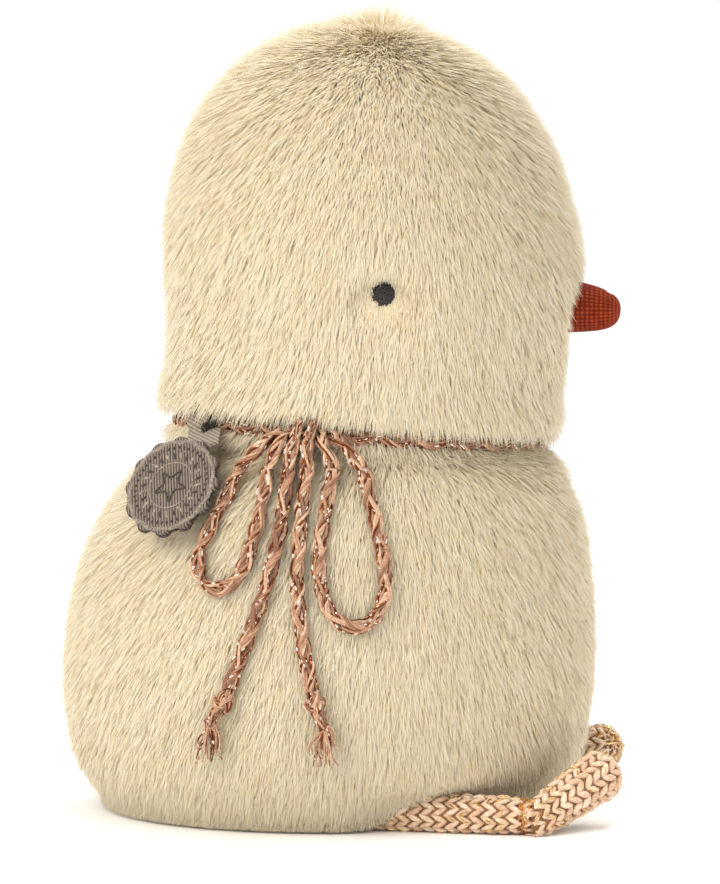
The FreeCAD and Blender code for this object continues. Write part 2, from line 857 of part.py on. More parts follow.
def print_joints():
    """The places that the moving pieces turn about."""
    for name, side in SIDES:
        print("toe %s turns about" % name, foot_points(side)[2])
    point, tangent = label_hinge()
    print("label turns about", point, "along", tangent)
    print("head turns about", neck_centre(), "along", neck_rotation().multVec(UP))


def check_document():
    """Stops if any object failed or any sub-part isn't a sound solid."""
    for made in doc.Objects:
        if "Invalid" in made.State or "Error" in made.State:
            raise RuntimeError("%s failed: %s" % (made.Name, made.State))
    for part in parts:
        shape = part.Shape
        if shape.isNull() or not shape.isValid() or not shape.Solids:
            raise RuntimeError("%s has no valid solid" % part.Label)


def write_parts():
    os.makedirs("parts", exist_ok=True)
    for part in parts:
        part.Shape.exportStep("parts/%s.step" % part.Label)
    print("%d sub-parts written" % len(parts))


fill_sheet()
make_torso()
make_head()
make_neck_cord()
make_bow()
make_hanging_cords()
make_label()
make_feet()
doc.recompute()
check_document()
print_joints()
write_parts()
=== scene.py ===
"""Looks of a stuffed chick: combed plush, a cord bow, knitted feet, a linen beak and a label."""

import math

import bpy
import numpy as np
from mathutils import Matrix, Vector


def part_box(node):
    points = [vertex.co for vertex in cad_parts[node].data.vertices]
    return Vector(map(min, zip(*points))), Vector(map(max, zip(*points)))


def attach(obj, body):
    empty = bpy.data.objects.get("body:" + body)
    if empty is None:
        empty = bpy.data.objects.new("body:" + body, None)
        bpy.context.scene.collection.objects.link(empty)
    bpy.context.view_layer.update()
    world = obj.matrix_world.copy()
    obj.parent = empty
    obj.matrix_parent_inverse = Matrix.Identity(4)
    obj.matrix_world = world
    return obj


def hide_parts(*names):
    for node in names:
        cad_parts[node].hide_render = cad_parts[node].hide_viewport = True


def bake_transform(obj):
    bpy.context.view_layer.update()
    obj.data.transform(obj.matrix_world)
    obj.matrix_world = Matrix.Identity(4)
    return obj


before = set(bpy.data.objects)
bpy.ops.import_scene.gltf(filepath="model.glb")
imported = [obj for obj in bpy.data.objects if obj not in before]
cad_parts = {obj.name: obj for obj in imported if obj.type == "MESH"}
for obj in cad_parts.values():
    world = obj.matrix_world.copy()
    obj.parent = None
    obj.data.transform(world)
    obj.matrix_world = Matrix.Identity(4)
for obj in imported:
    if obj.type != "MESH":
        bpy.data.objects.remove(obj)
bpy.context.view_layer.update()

bl_info = {
    "name": "Stuffed Chick",
    "version": (1, 0, 0),
    "blender": (4, 5, 0),
    "location": "View3D > Sidebar > Chick",
    "description": "Makes the plush, cord, knit and label of a stuffed chick round its packed frame",
    "category": "Object",
}

MM = 0.001
SIDES = (("right", -1), ("left", 1))

# The neck's own frame, and the shells' rings as the frame has them:
# height, half length, half width, shift.
NECK_CENTRE = np.array((2.7, 0.0, 75.9)) * MM
NECK_TILT = math.radians(4.45)
NECK_ALONG = np.array((math.sin(NECK_TILT), 0.0, math.cos(NECK_TILT)))
NECK_FORWARD = np.array((math.cos(NECK_TILT), 0.0, -math.sin(NECK_TILT)))
ASIDE = np.array((0.0, 1.0, 0.0))
TORSO_ROWS = (
    (0.4, 36.0, 33.0, -3.9),
    (1.5, 41.0, 37.6, -3.9),
    (5.0, 45.2, 41.3, -3.9),
    (12.0, 50.0, 45.6, -3.7),
    (24.0, 52.4, 47.6, -3.5),
    (36.0, 52.4, 47.5, -3.0),
    (48.0, 50.8, 46.0, -2.2),
    (58.0, 47.9, 43.6, -0.8),
    (65.0, 44.4, 41.2, 0.5),
    (70.0, 40.6, 38.6, 1.8),
    (73.4, 36.2, 35.8, 2.4),
    (75.4, 34.0, 33.8, 2.7),
)
HEAD_HEIGHT = 81.8
HEAD_LENGTH = 40.9
HEAD_WIDTH = 38.9
HEAD_SHARES = (
    (0.003, 0.826, 0.868, 0.0),
    (0.020, 0.842, 0.884, 0.0),
    (0.040, 0.900, 0.940, 0.0),
    (0.070, 0.961, 0.995, 0.0),
    (0.100, 0.966, 0.990, 0.2),
    (0.171, 0.961, 0.975, 0.4),
    (0.269, 0.980, 0.985, 0.8),
    (0.391, 1.0, 1.0, 0.4),
    (0.513, 0.995, 0.995, -0.2),
    (0.636, 0.936, 0.936, -1.1),
    (0.733, 0.861, 0.861, -1.7),
    (0.807, 0.770, 0.770, -2.1),
    (0.880, 0.643, 0.643, -2.3),
    (0.929, 0.513, 0.513, -2.6),
    (0.972, 0.342, 0.342, -2.9),
    (1.0, 0.160, 0.160, -3.0),
)

# The hanging cords' routes, in millimetres, as the frame has them.
REAR_LOOP = (
    (-16.5, -38.9, 69.9),
    (-20.5, -40.8, 61.9),
    (-23.5, -42.1, 55.6),
    (-24.6, -43.2, 50.8),
    (-22.4, -45.1, 47.4),
    (-18.4, -46.2, 47.2),
    (-15.2, -46.4, 50.3),
    (-13.4, -45.3, 56.3),
    (-11.9, -43.3, 62.6),
    (-11.0, -40.9, 70.0),
)
FRONT_LOOP = (
    (1.7, -42.2, 69.8),
    (0.4, -44.1, 63.0),
    (-0.6, -46.5, 56.0),
    (-0.6, -48.0, 49.4),
    (1.0, -49.0, 43.6),
    (4.6, -49.2, 40.2),
    (9.0, -48.3, 40.8),
    (11.7, -47.2, 44.8),
    (12.1, -46.3, 50.6),
    (10.6, -45.0, 57.4),
    (8.9, -43.4, 63.6),
    (7.2, -42.0, 69.8),
)
REAR_TAIL = (
    (-7.1, -41.5, 69.8),
    (-7.6, -44.1, 62.6),
    (-8.9, -46.5, 54.6),
    (-11.0, -48.1, 46.4),
    (-14.0, -48.8, 38.0),
    (-17.6, -48.6, 28.6),
)
FRONT_TAIL = (
    (-3.4, -42.0, 69.8),
    (-4.1, -44.4, 62.8),
    (-4.6, -47.0, 55.0),
    (-4.6, -48.9, 46.6),
    (-3.6, -50.0, 37.8),
    (-1.6, -50.6, 28.6),
)
CORD_SIZE = 3.1
RING_RADIUS = 36.35
# The beak's profile, as shares of its length and radius.
BEAK_SHARES = (
    (0.0, 1.0),
    (0.3, 0.985),
    (0.55, 0.93),
    (0.75, 0.84),
    (0.88, 0.70),
    (0.955, 0.50),
    (0.99, 0.26),
    (1.0, 0.05),
)

LABEL_CENTRE = np.array((-29.7, -38.3, 66.3)) * MM
LABEL_UP = np.array((0.572, 0.172, 0.802))
LABEL_FACE = np.array((-0.389, -0.804, 0.450))


def unit(vector):
    vector = np.asarray(vector, float)
    return vector / np.maximum(np.linalg.norm(vector, axis=-1, keepdims=True), 1e-12)


def wheel(turn, first, second):
    """Points at these angles on the circle through two crossing directions."""
    return np.cos(turn)[:, None] * first + np.sin(turn)[:, None] * second


def middle_of(name):
    """The middle of a node's box."""
    low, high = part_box(name)
    return np.array((low + high) / 2)


def linked(name, data):
    """A new object in the scene."""
    made = bpy.data.objects.new(name, data)
    bpy.context.scene.collection.objects.link(made)
    return made


# ---------------------------------------------------------------- nodes and materials


def linear(text):
    """The linear colour of an sRGB hex value."""
    parts = [int(text[i : i + 2], 16) / 255 for i in (0, 2, 4)]
    return (*(p / 12.92 if p <= 0.04045 else ((p + 0.055) / 1.055) ** 2.4 for p in parts), 1.0)


def node(tree, kind, inputs=None, **settings):
    """Adds a node with its settings, and sets or links its inputs."""
    made = tree.nodes.new(kind)
    for name, value in settings.items():
        setattr(made, name, value)
    for socket, value in (inputs or {}).items():
        if isinstance(value, bpy.types.NodeSocket):
            tree.links.new(value, made.inputs[socket])
        else:
            made.inputs[socket].default_value = value
    return made


def material(name, colour, roughness, **shader_inputs):
    """A material's tree and its shader, with one plain colour to start from."""
    made = bpy.data.materials.new(name)
    made.use_nodes = True
    shader = made.node_tree.nodes["Principled BSDF"]
    shader.inputs["Base Color"].default_value = linear(colour)
    shader.inputs["Roughness"].default_value = roughness
    for socket, value in shader_inputs.items():
        shader.inputs[socket.replace("_", " ")].default_value = value
    return made, made.node_tree, shader


def ramp(tree, factor, *stops):
    """Colours along a factor: (place, hex colour) pairs."""
    made = node(tree, "ShaderNodeValToRGB", {"Fac": factor})
    band = made.color_ramp
    while len(band.elements) < len(stops):
        band.elements.new(0.5)
    for element, (place, colour) in zip(band.elements, stops):
        element.position = place
        element.color = linear(colour)
    return made.outputs["Color"]


def attribute(tree, name):
    return node(tree, "ShaderNodeAttribute", attribute_name=name).outputs["Fac"]


def maths(tree, operation, *values, **settings):
    inputs = dict(enumerate(values))
    return node(tree, "ShaderNodeMath", inputs, operation=operation, **settings).outputs[0]


def painted(tree, shader, factor, *stops):
    """Colours a shader along a factor."""
    tree.links.new(ramp(tree, factor, *stops), shader.inputs["Base Color"])


def object_place(tree):
    return node(tree, "ShaderNodeTexCoord").outputs["Object"]


def noise(tree, size_mm, detail=2.0, stretch=None):
    """Noise on Object coordinates whose blotches are about this many millimetres across."""
    place = object_place(tree)
    if stretch:
        inputs = {"Vector": place, "Scale": stretch}
        place = node(tree, "ShaderNodeMapping", inputs).outputs["Vector"]
    inputs = {"Vector": place, "Scale": 1000.0 / size_mm, "Detail": detail}
    return node(tree, "ShaderNodeTexNoise", inputs).outputs["Fac"]


def bump(tree, shader, height, depth_mm):
    made = node(tree, "ShaderNodeBump", {"Strength": 1.0, "Height": height, "Distance": depth_mm * MM})
    tree.links.new(made.outputs["Normal"], shader.inputs["Normal"])


def mixed(tree, factor, first, second, blend_type="MIX"):
    inputs = {0: factor, 6: first, 7: second}
    made = node(tree, "ShaderNodeMix", inputs, data_type="RGBA", blend_type=blend_type)
    return made.outputs[2]


def plush_pile():
    """Combed polyester pile, slit and brushed: matt, soft, with pale tips over warmer, mostly darker
    roots that are painted shade deep in the pile.
    """
    made, tree, shader = material("plush_pile", "F1E6BE", 0.72, Sheen_Weight=0.25)
    shader.inputs["Sheen Roughness"].default_value = 0.5
    tone = attribute(tree, "tone")
    pale = ((0.0, "E2CFA6"), (0.25, "EADCBB"), (0.55, "EEE4CC"), (0.8, "F2EAD6"), (1.0, "F6F1E2"))
    tips = ramp(tree, tone, *pale)
    # Painted shade: at most tones the roots are darker and warmer than the tips, for the shade deep in
    # the pile.
    roots = ramp(tree, tone, (0.0, "E6D3AA"), (0.4, "EDDFBF"), (1.0, "F1E8D0"))
    colour = mixed(tree, maths(tree, "POWER", attribute(tree, "reach"), 0.7), roots, tips)
    tree.links.new(colour, shader.inputs["Base Color"])
    # Fine fibres pass on part of the light that falls on their far side.
    through = node(tree, "ShaderNodeBsdfTranslucent", {"Color": colour})
    both = node(tree, "ShaderNodeMixShader", {0: 0.38})
    tree.links.new(shader.outputs[0], both.inputs[1])
    tree.links.new(through.outputs[0], both.inputs[2])
    tree.links.new(both.outputs[0], tree.nodes["Material Output"].inputs["Surface"])
    return made


def plush_backing():
    """The pile's warp-knitted polyester ground: matt, cream, with fine ribs between the tufts, painted
    a deeper golden than the pile as the shade between the hairs.
    """
    made, tree, shader = material("plush_backing", "E6D6A4", 0.9)
    # Painted shade: a deeper golden cream than the pile, for the shade between the hairs, with
    # blotches of tone.
    painted(tree, shader, noise(tree, 3.0, 4.0), (0.3, "F0DFB2"), (0.7, "F7EAC6"))
    bump(tree, shader, noise(tree, 0.6), 0.15)
    return made


def chick_linen():
    """Plain-woven dyed linen: matt, with slubs, painted light on the thread tops and painted shade in
    the dark gaps between them.
    """
    made, tree, shader = material("terracotta_linen", "A5452B", 0.9, Specular_IOR_Level=0.15)
    stops = ((0.0, "2C0A04"), (0.45, "661F0C"), (0.8, "883217"), (1.0, "A14A28"))
    # Painted light and shade: by thread height, the tops pale and the low places between them nearly
    # black.
    threads = ramp(tree, attribute(tree, "weave"), *stops)
    slubs = ramp(tree, noise(tree, 1.6, 3.0), (0.3, "D8C8C2"), (0.7, "FFFFFF"))
    colour = mixed(tree, 1.0, threads, slubs, "MULTIPLY")
    tree.links.new(colour, shader.inputs["Base Color"])
    return made


def yarn(made, stops, fibres, shade, full, share, bump_mm, depth_mm):
    """A yarn's tones along its stops, with painted shade between its twisted fibres."""
    made, tree, shader = made
    tone = ramp(tree, attribute(tree, "tone"), *stops)
    # Painted shade: noise darkens the yarn as if between its fibres.
    gaps = ramp(tree, noise(tree, *fibres), (0.3, shade), (full, "FFFFFF"))
    tree.links.new(mixed(tree, share, tone, gaps, "MULTIPLY"), shader.inputs["Base Color"])
    bump(tree, shader, noise(tree, bump_mm), depth_mm)
    return made


def rose_yarn():
    """Spun viscose yarn in dusty rose: soft, faintly shiny, with fine twisted fibres."""
    made = material("rose_yarn", "D0A083", 0.6, Sheen_Weight=0.2)
    stops = ((0.0, "8A5F43"), (0.45, "B48A6A"), (1.0, "DCBFA2"))
    return yarn(made, stops, (0.7, 3.0), "C6A68C", 0.65, 0.8, 0.35, 0.05)


def copper_film():
    """Slit metallised film in copper: flat strips that glint as they turn, with painted glints
    besides.
    """
    made, tree, shader = material("copper_film", "A9572E", 0.27, Metallic=0.85)
    # Painted glints: the highest noise turns the copper nearly white.
    stops = ((0.42, "6B3216"), (0.56, "9A5A30"), (0.62, "FFF0E2"))
    painted(tree, shader, noise(tree, 0.9, 1.0), *stops)
    return made


def gold_film():
    """Slit metallised film in gold, run in with the knitting yarn."""
    made, tree, shader = material("gold_film", "C79A45", 0.25, Metallic=0.9)
    painted(tree, shader, noise(tree, 1.2), (0.35, "A87526"), (0.65, "F0D28A"))
    return made


def knit_yarn():
    """Mercerised cotton knitting yarn in oatmeal pink: matt, plied, slightly hairy."""
    made = material("knit_yarn", "DFC1A2", 0.8, Sheen_Weight=0.2)
    stops = ((0.0, "CBA482"), (0.5, "E0C3A5"), (1.0, "EED8BF"))
    return yarn(made, stops, (0.8, 3.0, (1, 1, 2)), "C8AD95", 0.6, 0.7, 0.4, 0.06)


def knit_shadow():
    """The inside of the knitting, painted dark brown as the shade seen between its stitches."""
    made, tree, shader = material("knit_inside_shade", "9C7350", 0.95)
    # Painted shade: dark browns, in blotches.
    painted(tree, shader, noise(tree, 1.0), (0.3, "7A5434"), (0.7, "A8805C"))
    return made


def thread(name, dark, pale, roughness):
    """Plied cotton sewing thread: matt, with a fine twist."""
    made, tree, shader = material(name, pale, roughness, Sheen_Weight=0.1)
    painted(tree, shader, noise(tree, 0.5, 2.0), (0.35, dark), (0.7, pale))
    bump(tree, shader, noise(tree, 0.3), 0.05)
    return made


def woven(name, dark, pale, across, spacing_mm, depth_mm, roughness=0.8):
    """Damask-woven polyester: fine ribs of weft, with painted light on their tops and painted shade
    between them.

    They are drawn coarser than the 0.3 mm threads, so that they show."""
    made, tree, shader = material(name, pale, roughness, Sheen_Weight=0.1)
    inputs = {0: object_place(tree), 1: tuple(across)}
    along = node(tree, "ShaderNodeVectorMath", inputs, operation="DOT_PRODUCT")
    turns = maths(tree, "MULTIPLY", along.outputs["Value"], 2 * math.pi / (spacing_mm * MM))
    rib = maths(tree, "MULTIPLY_ADD", maths(tree, "SINE", turns), 0.5, 0.5)
    mottled = maths(tree, "MULTIPLY_ADD", noise(tree, 1.2, 3.0), 0.7, -0.35)
    # Painted light and shade: each rib pale along its top and dark between, mottled.
    painted(tree, shader, maths(tree, "ADD", rib, mottled), (0.1, dark), (0.8, pale))
    bump(tree, shader, rib, depth_mm)
    return made


def wadding():
    """Polyester fibre filling: white, soft, matt, in small lumps."""
    made, tree, shader = material("polyester_wadding", "F3F1EC", 0.95, Sheen_Weight=0.3)
    painted(tree, shader, noise(tree, 6.0, 5.0), (0.3, "DAD8D2"), (0.7, "FAF9F6"))
    bump(tree, shader, noise(tree, 2.0, 4.0), 0.6)
    return made


def pellets():
    """Polyethylene weighting pellets: waxy, white, smooth beads a few millimetres across, with painted
    shade at their edges.
    """
    made, tree, shader = material("polyethylene_pellets", "EFEFEA", 0.35)
    inputs = {"Vector": object_place(tree), "Scale": 1000.0 / 2.6}
    beads = node(tree, "ShaderNodeTexVoronoi", inputs).outputs["Distance"]
    # Painted shade: each bead greys from its middle to its edge.
    painted(tree, shader, beads, (0.1, "F4F4F0"), (0.8, "BDBDB4"))
    bump(tree, shader, beads, -1.0)
    return made


MAKERS = {
    "plush": plush_pile,
    "backing": plush_backing,
    "linen": chick_linen,
    "rose": rose_yarn,
    "copper": copper_film,
    "gold": gold_film,
    "knit": knit_yarn,
    "knit_inside_shade": knit_shadow,
    "black_thread": lambda: thread("black_cotton_thread", "0E0B0A", "2C2521", 0.7),
    "binding_thread": lambda: thread("amber_cotton_thread", "8A4A0E", "C6802B", 0.6),
    "label_thread": lambda: thread("taupe_label_thread", "6A5F54", "A3978A", 0.7),
    "label_dark": lambda: thread("umber_label_thread", "2A231E", "453B33", 0.8),
    "label": lambda: woven(
        "woven_taupe_label",
        "352B24",
        "7C6E60",
        unit(np.cross(LABEL_UP, LABEL_FACE) + LABEL_UP),
        0.62,
        0.12,
    ),
    "label_back": lambda: woven(
        "umber_felt_backing", "2B201A", "4B3A30", unit(LABEL_UP), 0.9, 0.05, 0.9
    ),
    "ribbon": lambda: woven(
        "taupe_grosgrain_ribbon", "6F6356", "A09383", unit(LABEL_UP), 0.7, 0.14
    ),
    "wadding": wadding,
    "pellets": pellets,
    "pouch": lambda: woven(
        "unbleached_cotton_calico", "CFC3A6", "E9E0C8", (1.0, 0.0, 0.0), 0.9, 0.08, 0.9
    ),
}
_made_materials = {}


def finish_of(name):
    """A finish from MAKERS, made once."""
    if name not in _made_materials:
        _made_materials[name] = MAKERS[name]()
    return _made_materials[name]


# ---------------------------------------------------------------- meshes


def new_piece(name, points, faces, finishes, smooth=True, face_finish=None):
    """A mesh object at the origin from points in metres."""
    mesh = bpy.data.meshes.new(name)
    mesh.from_pydata(np.asarray(points).tolist(), [], faces)
    mesh.polygons.foreach_set("use_smooth", [smooth] * len(mesh.polygons))
    for finish in finishes:
        mesh.materials.append(finish_of(finish))
    if face_finish is not None:
        mesh.polygons.foreach_set("material_index", face_finish)
    mesh.validate()
    mesh.update()
    return linked(name, mesh)


def ring_faces(rows, around):
    """Faces between rings of points, closed by fans to the two points that follow them."""
    faces = []
    for i in range(rows - 1):
        for j in range(around):
            a, b = i * around + j, i * around + (j + 1) % around
            faces.append((a, b, b + around, a + around))
    last, low = (rows - 1) * around, rows * around
    for j in range(around):
        n = (j + 1) % around
        faces += [(n, j, low), (last + j, last + n, low + 1)]
    return faces


def above_floor(mesh, least):
    """Keeps a mesh's points above the floor."""
    spots = np.empty(len(mesh.vertices) * 3)
    mesh.vertices.foreach_get("co", spots)
    spots[2::3] = np.maximum(spots[2::3], least)
    mesh.vertices.foreach_set("co", spots)
    mesh.update()


def set_attribute(mesh, name, kind, values):
    made = mesh.attributes.new(name, kind, "POINT")
    field = "vector" if kind == "FLOAT_VECTOR" else "value"
    made.data.foreach_set(field, np.asarray(values, np.float32).ravel())


def set_map(mesh, corners):
    """The UV map that the finishes are drawn on: one place for each face corner."""
    layer = mesh.uv_layers.new(name="OFBake", do_init=False)
    layer.uv.foreach_set("vector", np.asarray(corners, np.float32).ravel())


def removed(*objects):
    for each in objects:
        data = each.data
        bpy.data.objects.remove(each)
        if data.users == 0:
            bpy.data.meshes.remove(data)


def frames_along(line):
    """Tangents, and normals and binormals carried along the line without twist."""
    tangent = unit(np.gradient(line, axis=0))
    normal = np.zeros_like(line)
    start = np.array((0.0, 0.0, 1.0))
    if abs(tangent[0] @ start) > 0.9:
        start = np.array((0.0, 1.0, 0.0))
    held = start
    for i, t in enumerate(tangent):
        held = held - t * (held @ t)
        held = held / np.linalg.norm(held)
        normal[i] = held
    return tangent, normal, np.cross(tangent, normal)


def tubes(name, lines, finishes, sides=5, tones=None):
    """Tubes along lines: each line is (points, radius or radii, finish index, roll)."""
    points, faces, kinds, corners, tone_values = [], [], [], [], []
    start = 0
    step = 1 / (len(lines) * (sides + 0.5))
    for k, (line, radius, kind, roll) in enumerate(lines):
        line = np.asarray(line, float)
        rows = len(line)
        radius = np.broadcast_to(radius, (rows,))
        _, normal, binormal = frames_along(line)
        turn = 2 * math.pi * np.arange(sides) / sides
        angle = turn[None, :] + roll * np.arange(rows)[:, None]
        spoke = (
            np.cos(angle)[..., None] * normal[:, None]
            + np.sin(angle)[..., None] * binormal[:, None]
        )
        ring = (line[:, None] + radius[:, None, None] * spoke).reshape(-1, 3)
        points += [ring, line[[0, -1]]]
        found = ring_faces(rows, sides)
        faces += [tuple(start + corner for corner in face) for face in found]
        left = k / len(lines)
        for i in range(rows - 1):
            v = 0.03 + 0.94 * i / (rows - 1)
            w = 0.03 + 0.94 * (i + 1) / (rows - 1)
            for j in range(sides):
                u = left + step * j
                corners += [(u, v), (u + step, v), (u + step, w), (u, w)]
        for j in range(sides):
            u = left + step * j
            corners += [(u + step, 0.03), (u, 0.03), (u + step / 2, 0.0)]
            corners += [(u, 0.97), (u + step, 0.97), (u + step / 2, 1.0)]
        kinds += [kind] * len(found)
        tone_values += [0.5 if tones is None else tones[k]] * (len(ring) + 2)
        start += len(ring) + 2
    made = new_piece(name, np.concatenate(points), faces, finishes, True, kinds)
    set_map(made.data, corners)
    set_attribute(made.data, "tone", "FLOAT", tone_values)
    return made


def spaced(line, step):
    """Points at even steps along a line."""
    line = np.asarray(line, float)
    at = np.concatenate([[0.0], np.cumsum(np.linalg.norm(np.diff(line, axis=0), axis=1))])
    where = np.linspace(0, at[-1], max(int(at[-1] / step), 4) + 1)
    return np.stack([np.interp(where, at, line[:, i]) for i in range(3)], 1), where


def smooth_line(route):
    """Points read from the NURBS spline that has the route as its control points."""
    curve = bpy.data.curves.new("route", "CURVE")
    curve.dimensions = "3D"
    curve.resolution_u = 24
    spline = curve.splines.new("NURBS")
    spline.points.add(len(route) - 1)
    for point, place in zip(spline.points, route):
        point.co = (*(np.array(place) * MM), 1.0)
    spline.order_u = 3
    spline.use_endpoint_u = True
    holder = bpy.data.objects.new("route", curve)
    mesh = bpy.data.meshes.new_from_object(holder)
    points = np.array([v.co for v in mesh.vertices], float)
    bpy.data.objects.remove(holder)
    bpy.data.meshes.remove(mesh)
    bpy.data.curves.remove(curve)
    return points


def metallic_braid(line, size, seed, pitch_mm=15.0, step_mm=0.45):
    """Lines of a round chain of four strands of rose yarns and copper films, over and under."""
    line, at = spaced(line, step_mm * MM)
    _, normal, binormal = frames_along(line)
    random = np.random.default_rng(seed)
    scale = size / CORD_SIZE * MM
    lines, tones = [], []
    turn = 2 * math.pi * at / (pitch_mm * MM)
    sway = 0.06 * np.sin(at / (3.1 * MM) + random.uniform(0, 6))
    for strand in range(4):
        hand = 1 if strand % 2 else -1
        angle = hand * turn + math.pi * strand / 2 + sway
        radius = 0.78 * (1 + hand * 0.24 * np.sin(2 * turn)) * scale
        radial, around = wheel(angle, normal, binormal), wheel(angle, binormal, -normal)
        middle = line + radius[:, None] * radial
        for ply in range(5):
            twist = at / (2.3 * MM) + 2 * math.pi * ply / 5 + random.uniform(0, 0.5)
            path = middle + 0.42 * scale * wheel(twist, radial, around)
            copper = ply in (1, 3) and (ply == 1 or strand != 1)
            wide = (0.24 if copper else 0.31) * scale
            wave = 1 + 0.12 * np.sin(at / (1.3 * MM) + random.uniform(0, 6))
            lines.append((path, wide * wave, 1 if copper else 0, 0.5 if copper else 0.1))
            tones.append(random.uniform(0.0, 1.0))
    return lines, tones


# ---------------------------------------------------------------- geometry nodes


def start_tree(title, **kinds):
    """A new tree with the named inputs of each kind of socket, and those inputs."""
    tree = bpy.data.node_groups.new(title, "GeometryNodeTree")
    for kind, names in kinds.items():
        for name in names:
            tree.interface.new_socket(name=name, in_out="INPUT", socket_type="NodeSocket" + kind)
    tree.interface.new_socket(name="Mesh", in_out="OUTPUT", socket_type="NodeSocketGeometry")
    return tree, node(tree, "NodeGroupInput").outputs


def named(tree, name, kind="FLOAT"):
    made = node(tree, "GeometryNodeInputNamedAttribute", {"Name": name}, data_type=kind)
    return made.outputs["Attribute"]


def stored(tree, geometry, name, value, kind, domain="INSTANCE"):
    inputs = {"Geometry": geometry, "Name": name, "Value": value}
    made = node(tree, "GeometryNodeStoreNamedAttribute", inputs, data_type=kind, domain=domain)
    return made.outputs["Geometry"]


def chance(tree, low, high, seed):
    inputs = {2: low, 3: high, "Seed": seed}
    return node(tree, "FunctionNodeRandomValue", inputs, data_type="FLOAT").outputs[1]


def scaled(tree, vector, amount):
    inputs = {0: vector, "Scale": amount}
    return node(tree, "ShaderNodeVectorMath", inputs, operation="SCALE").outputs[0]


def instances(tree, points, piece, ahead, facing, scale, roll=None):
    """A piece on each point, its Z axis ahead and its Y axis facing a way, rolled about Z."""
    kind = "FunctionNodeAlignRotationToVector"
    turned = node(tree, kind, {"Vector": ahead}, axis="Z").outputs[0]
    inputs = {"Rotation": turned, "Vector": facing}
    turned = node(tree, kind, inputs, axis="Y", pivot_axis="Z").outputs[0]
    if roll is not None:
        inputs = {"Axis": (0.0, 0.0, 1.0), "Angle": roll}
        by = node(tree, "FunctionNodeAxisAngleToRotation", inputs).outputs[0]
        inputs = {"Rotation": turned, "Rotate By": by}
        turned = node(tree, "FunctionNodeRotateRotation", inputs, rotation_space="LOCAL").outputs[0]
    shape = node(tree, "GeometryNodeObjectInfo", {"Object": piece}).outputs["Geometry"]
    inputs = {"Points": points, "Instance": shape, "Rotation": turned, "Scale": scale}
    return node(tree, "GeometryNodeInstanceOnPoints", inputs).outputs["Instances"]


def end_tree(tree, made, finish):
    """Realizes the instances, maps each by its tone and reach, and gives it its finish."""
    real = node(tree, "GeometryNodeRealizeInstances", {"Geometry": made}).outputs["Geometry"]
    tone, side, reach = (named(tree, name) for name in ("tone", "side", "reach"))
    across = maths(tree, "MULTIPLY_ADD", side, 0.012, 0.03)
    column = maths(tree, "MULTIPLY_ADD", tone, 0.94, across)
    row = maths(tree, "MULTIPLY_ADD", reach, 0.96, 0.02)
    place = node(tree, "ShaderNodeCombineXYZ", {"X": column, "Y": row}).outputs["Vector"]
    mapped = stored(tree, real, "OFBake", place, "FLOAT2", "CORNER")
    inputs = {"Geometry": mapped, "Material": finish}
    finished = node(tree, "GeometryNodeSetMaterial", inputs).outputs["Geometry"]
    node(tree, "NodeGroupOutput", {0: finished})


def pile_tree():
    """Strands scattered on a skin, laid along its combing, with tufts that lean together."""
    tree, given = start_tree(
        "Combed pile",
        Geometry=("Skin",),
        Object=("Strand",),
        Float=("Density", "Length", "Width", "Lift", "Tuft size", "Tuft lean", "Wander"),
        Int=("Seed",),
        Material=("Finish",),
    )
    inputs = {"Mesh": given["Skin"], "Density": given["Density"], "Seed": given["Seed"]}
    scattered = node(tree, "GeometryNodeDistributePointsOnFaces", inputs).outputs
    pile, warm = named(tree, "pile"), named(tree, "warm")
    place = node(tree, "GeometryNodeInputPosition").outputs["Position"]
    inputs = {0: place, 1: (1.0, 1.0, 0.45)}
    drawn_out = node(tree, "ShaderNodeVectorMath", inputs, operation="MULTIPLY").outputs[0]
    per_tuft = maths(tree, "DIVIDE", 1.0, given["Tuft size"])
    inputs = {"Vector": drawn_out, "Scale": per_tuft, "Detail": 2.0}
    tufts = node(tree, "ShaderNodeTexNoise", inputs).outputs["Color"]
    inputs = {0: tufts, 1: (0.5, 0.5, 0.5)}
    centred = node(tree, "ShaderNodeVectorMath", inputs, operation="SUBTRACT").outputs[0]
    inputs = {0: (-1.0, -1.0, -1.0), 1: (1.0, 1.0, 1.0), "Seed": 11}
    loose = node(tree, "FunctionNodeRandomValue", inputs, data_type="FLOAT_VECTOR").outputs[0]
    total = named(tree, "lay", "FLOAT_VECTOR")
    for part in (
        scaled(tree, centred, given["Tuft lean"]),
        scaled(tree, loose, given["Wander"]),
        scaled(tree, scattered["Normal"], given["Lift"]),
    ):
        inputs = {0: total, 1: part}
        total = node(tree, "ShaderNodeVectorMath", inputs, operation="ADD").outputs[0]
    tall = maths(tree, "MULTIPLY", chance(tree, 0.84, 1.06, 13), pile)
    length = maths(tree, "MULTIPLY", tall, given["Length"])
    inputs = {"X": given["Width"], "Y": length, "Z": length}
    size = node(tree, "ShaderNodeCombineXYZ", inputs).outputs["Vector"]
    roll = chance(tree, -0.7, 0.7, 12)
    made = instances(
        tree, scattered["Points"], given["Strand"], total, scattered["Normal"], size, roll
    )
    # A strand's tone: its own chance, pulled towards the warmer colours in patches, then lowered by
    # the skin's warmth and painted shade.
    inputs = {"Vector": place, "Scale": 420.0, "Detail": 3.0}
    patch = node(tree, "ShaderNodeTexNoise", inputs).outputs["Fac"]
    tinted = maths(tree, "SUBTRACT", patch, 0.42)
    pulled = maths(tree, "MULTIPLY_ADD", tinted, 0.8, chance(tree, 0.38, 0.9, 14))
    toned = maths(tree, "SUBTRACT", pulled, warm, use_clamp=True)
    made = stored(tree, made, "tone", toned, "FLOAT")
    made = stored(tree, made, "rise", scattered["Normal"], "FLOAT_VECTOR")
    end_tree(tree, made, given["Finish"])
    return tree


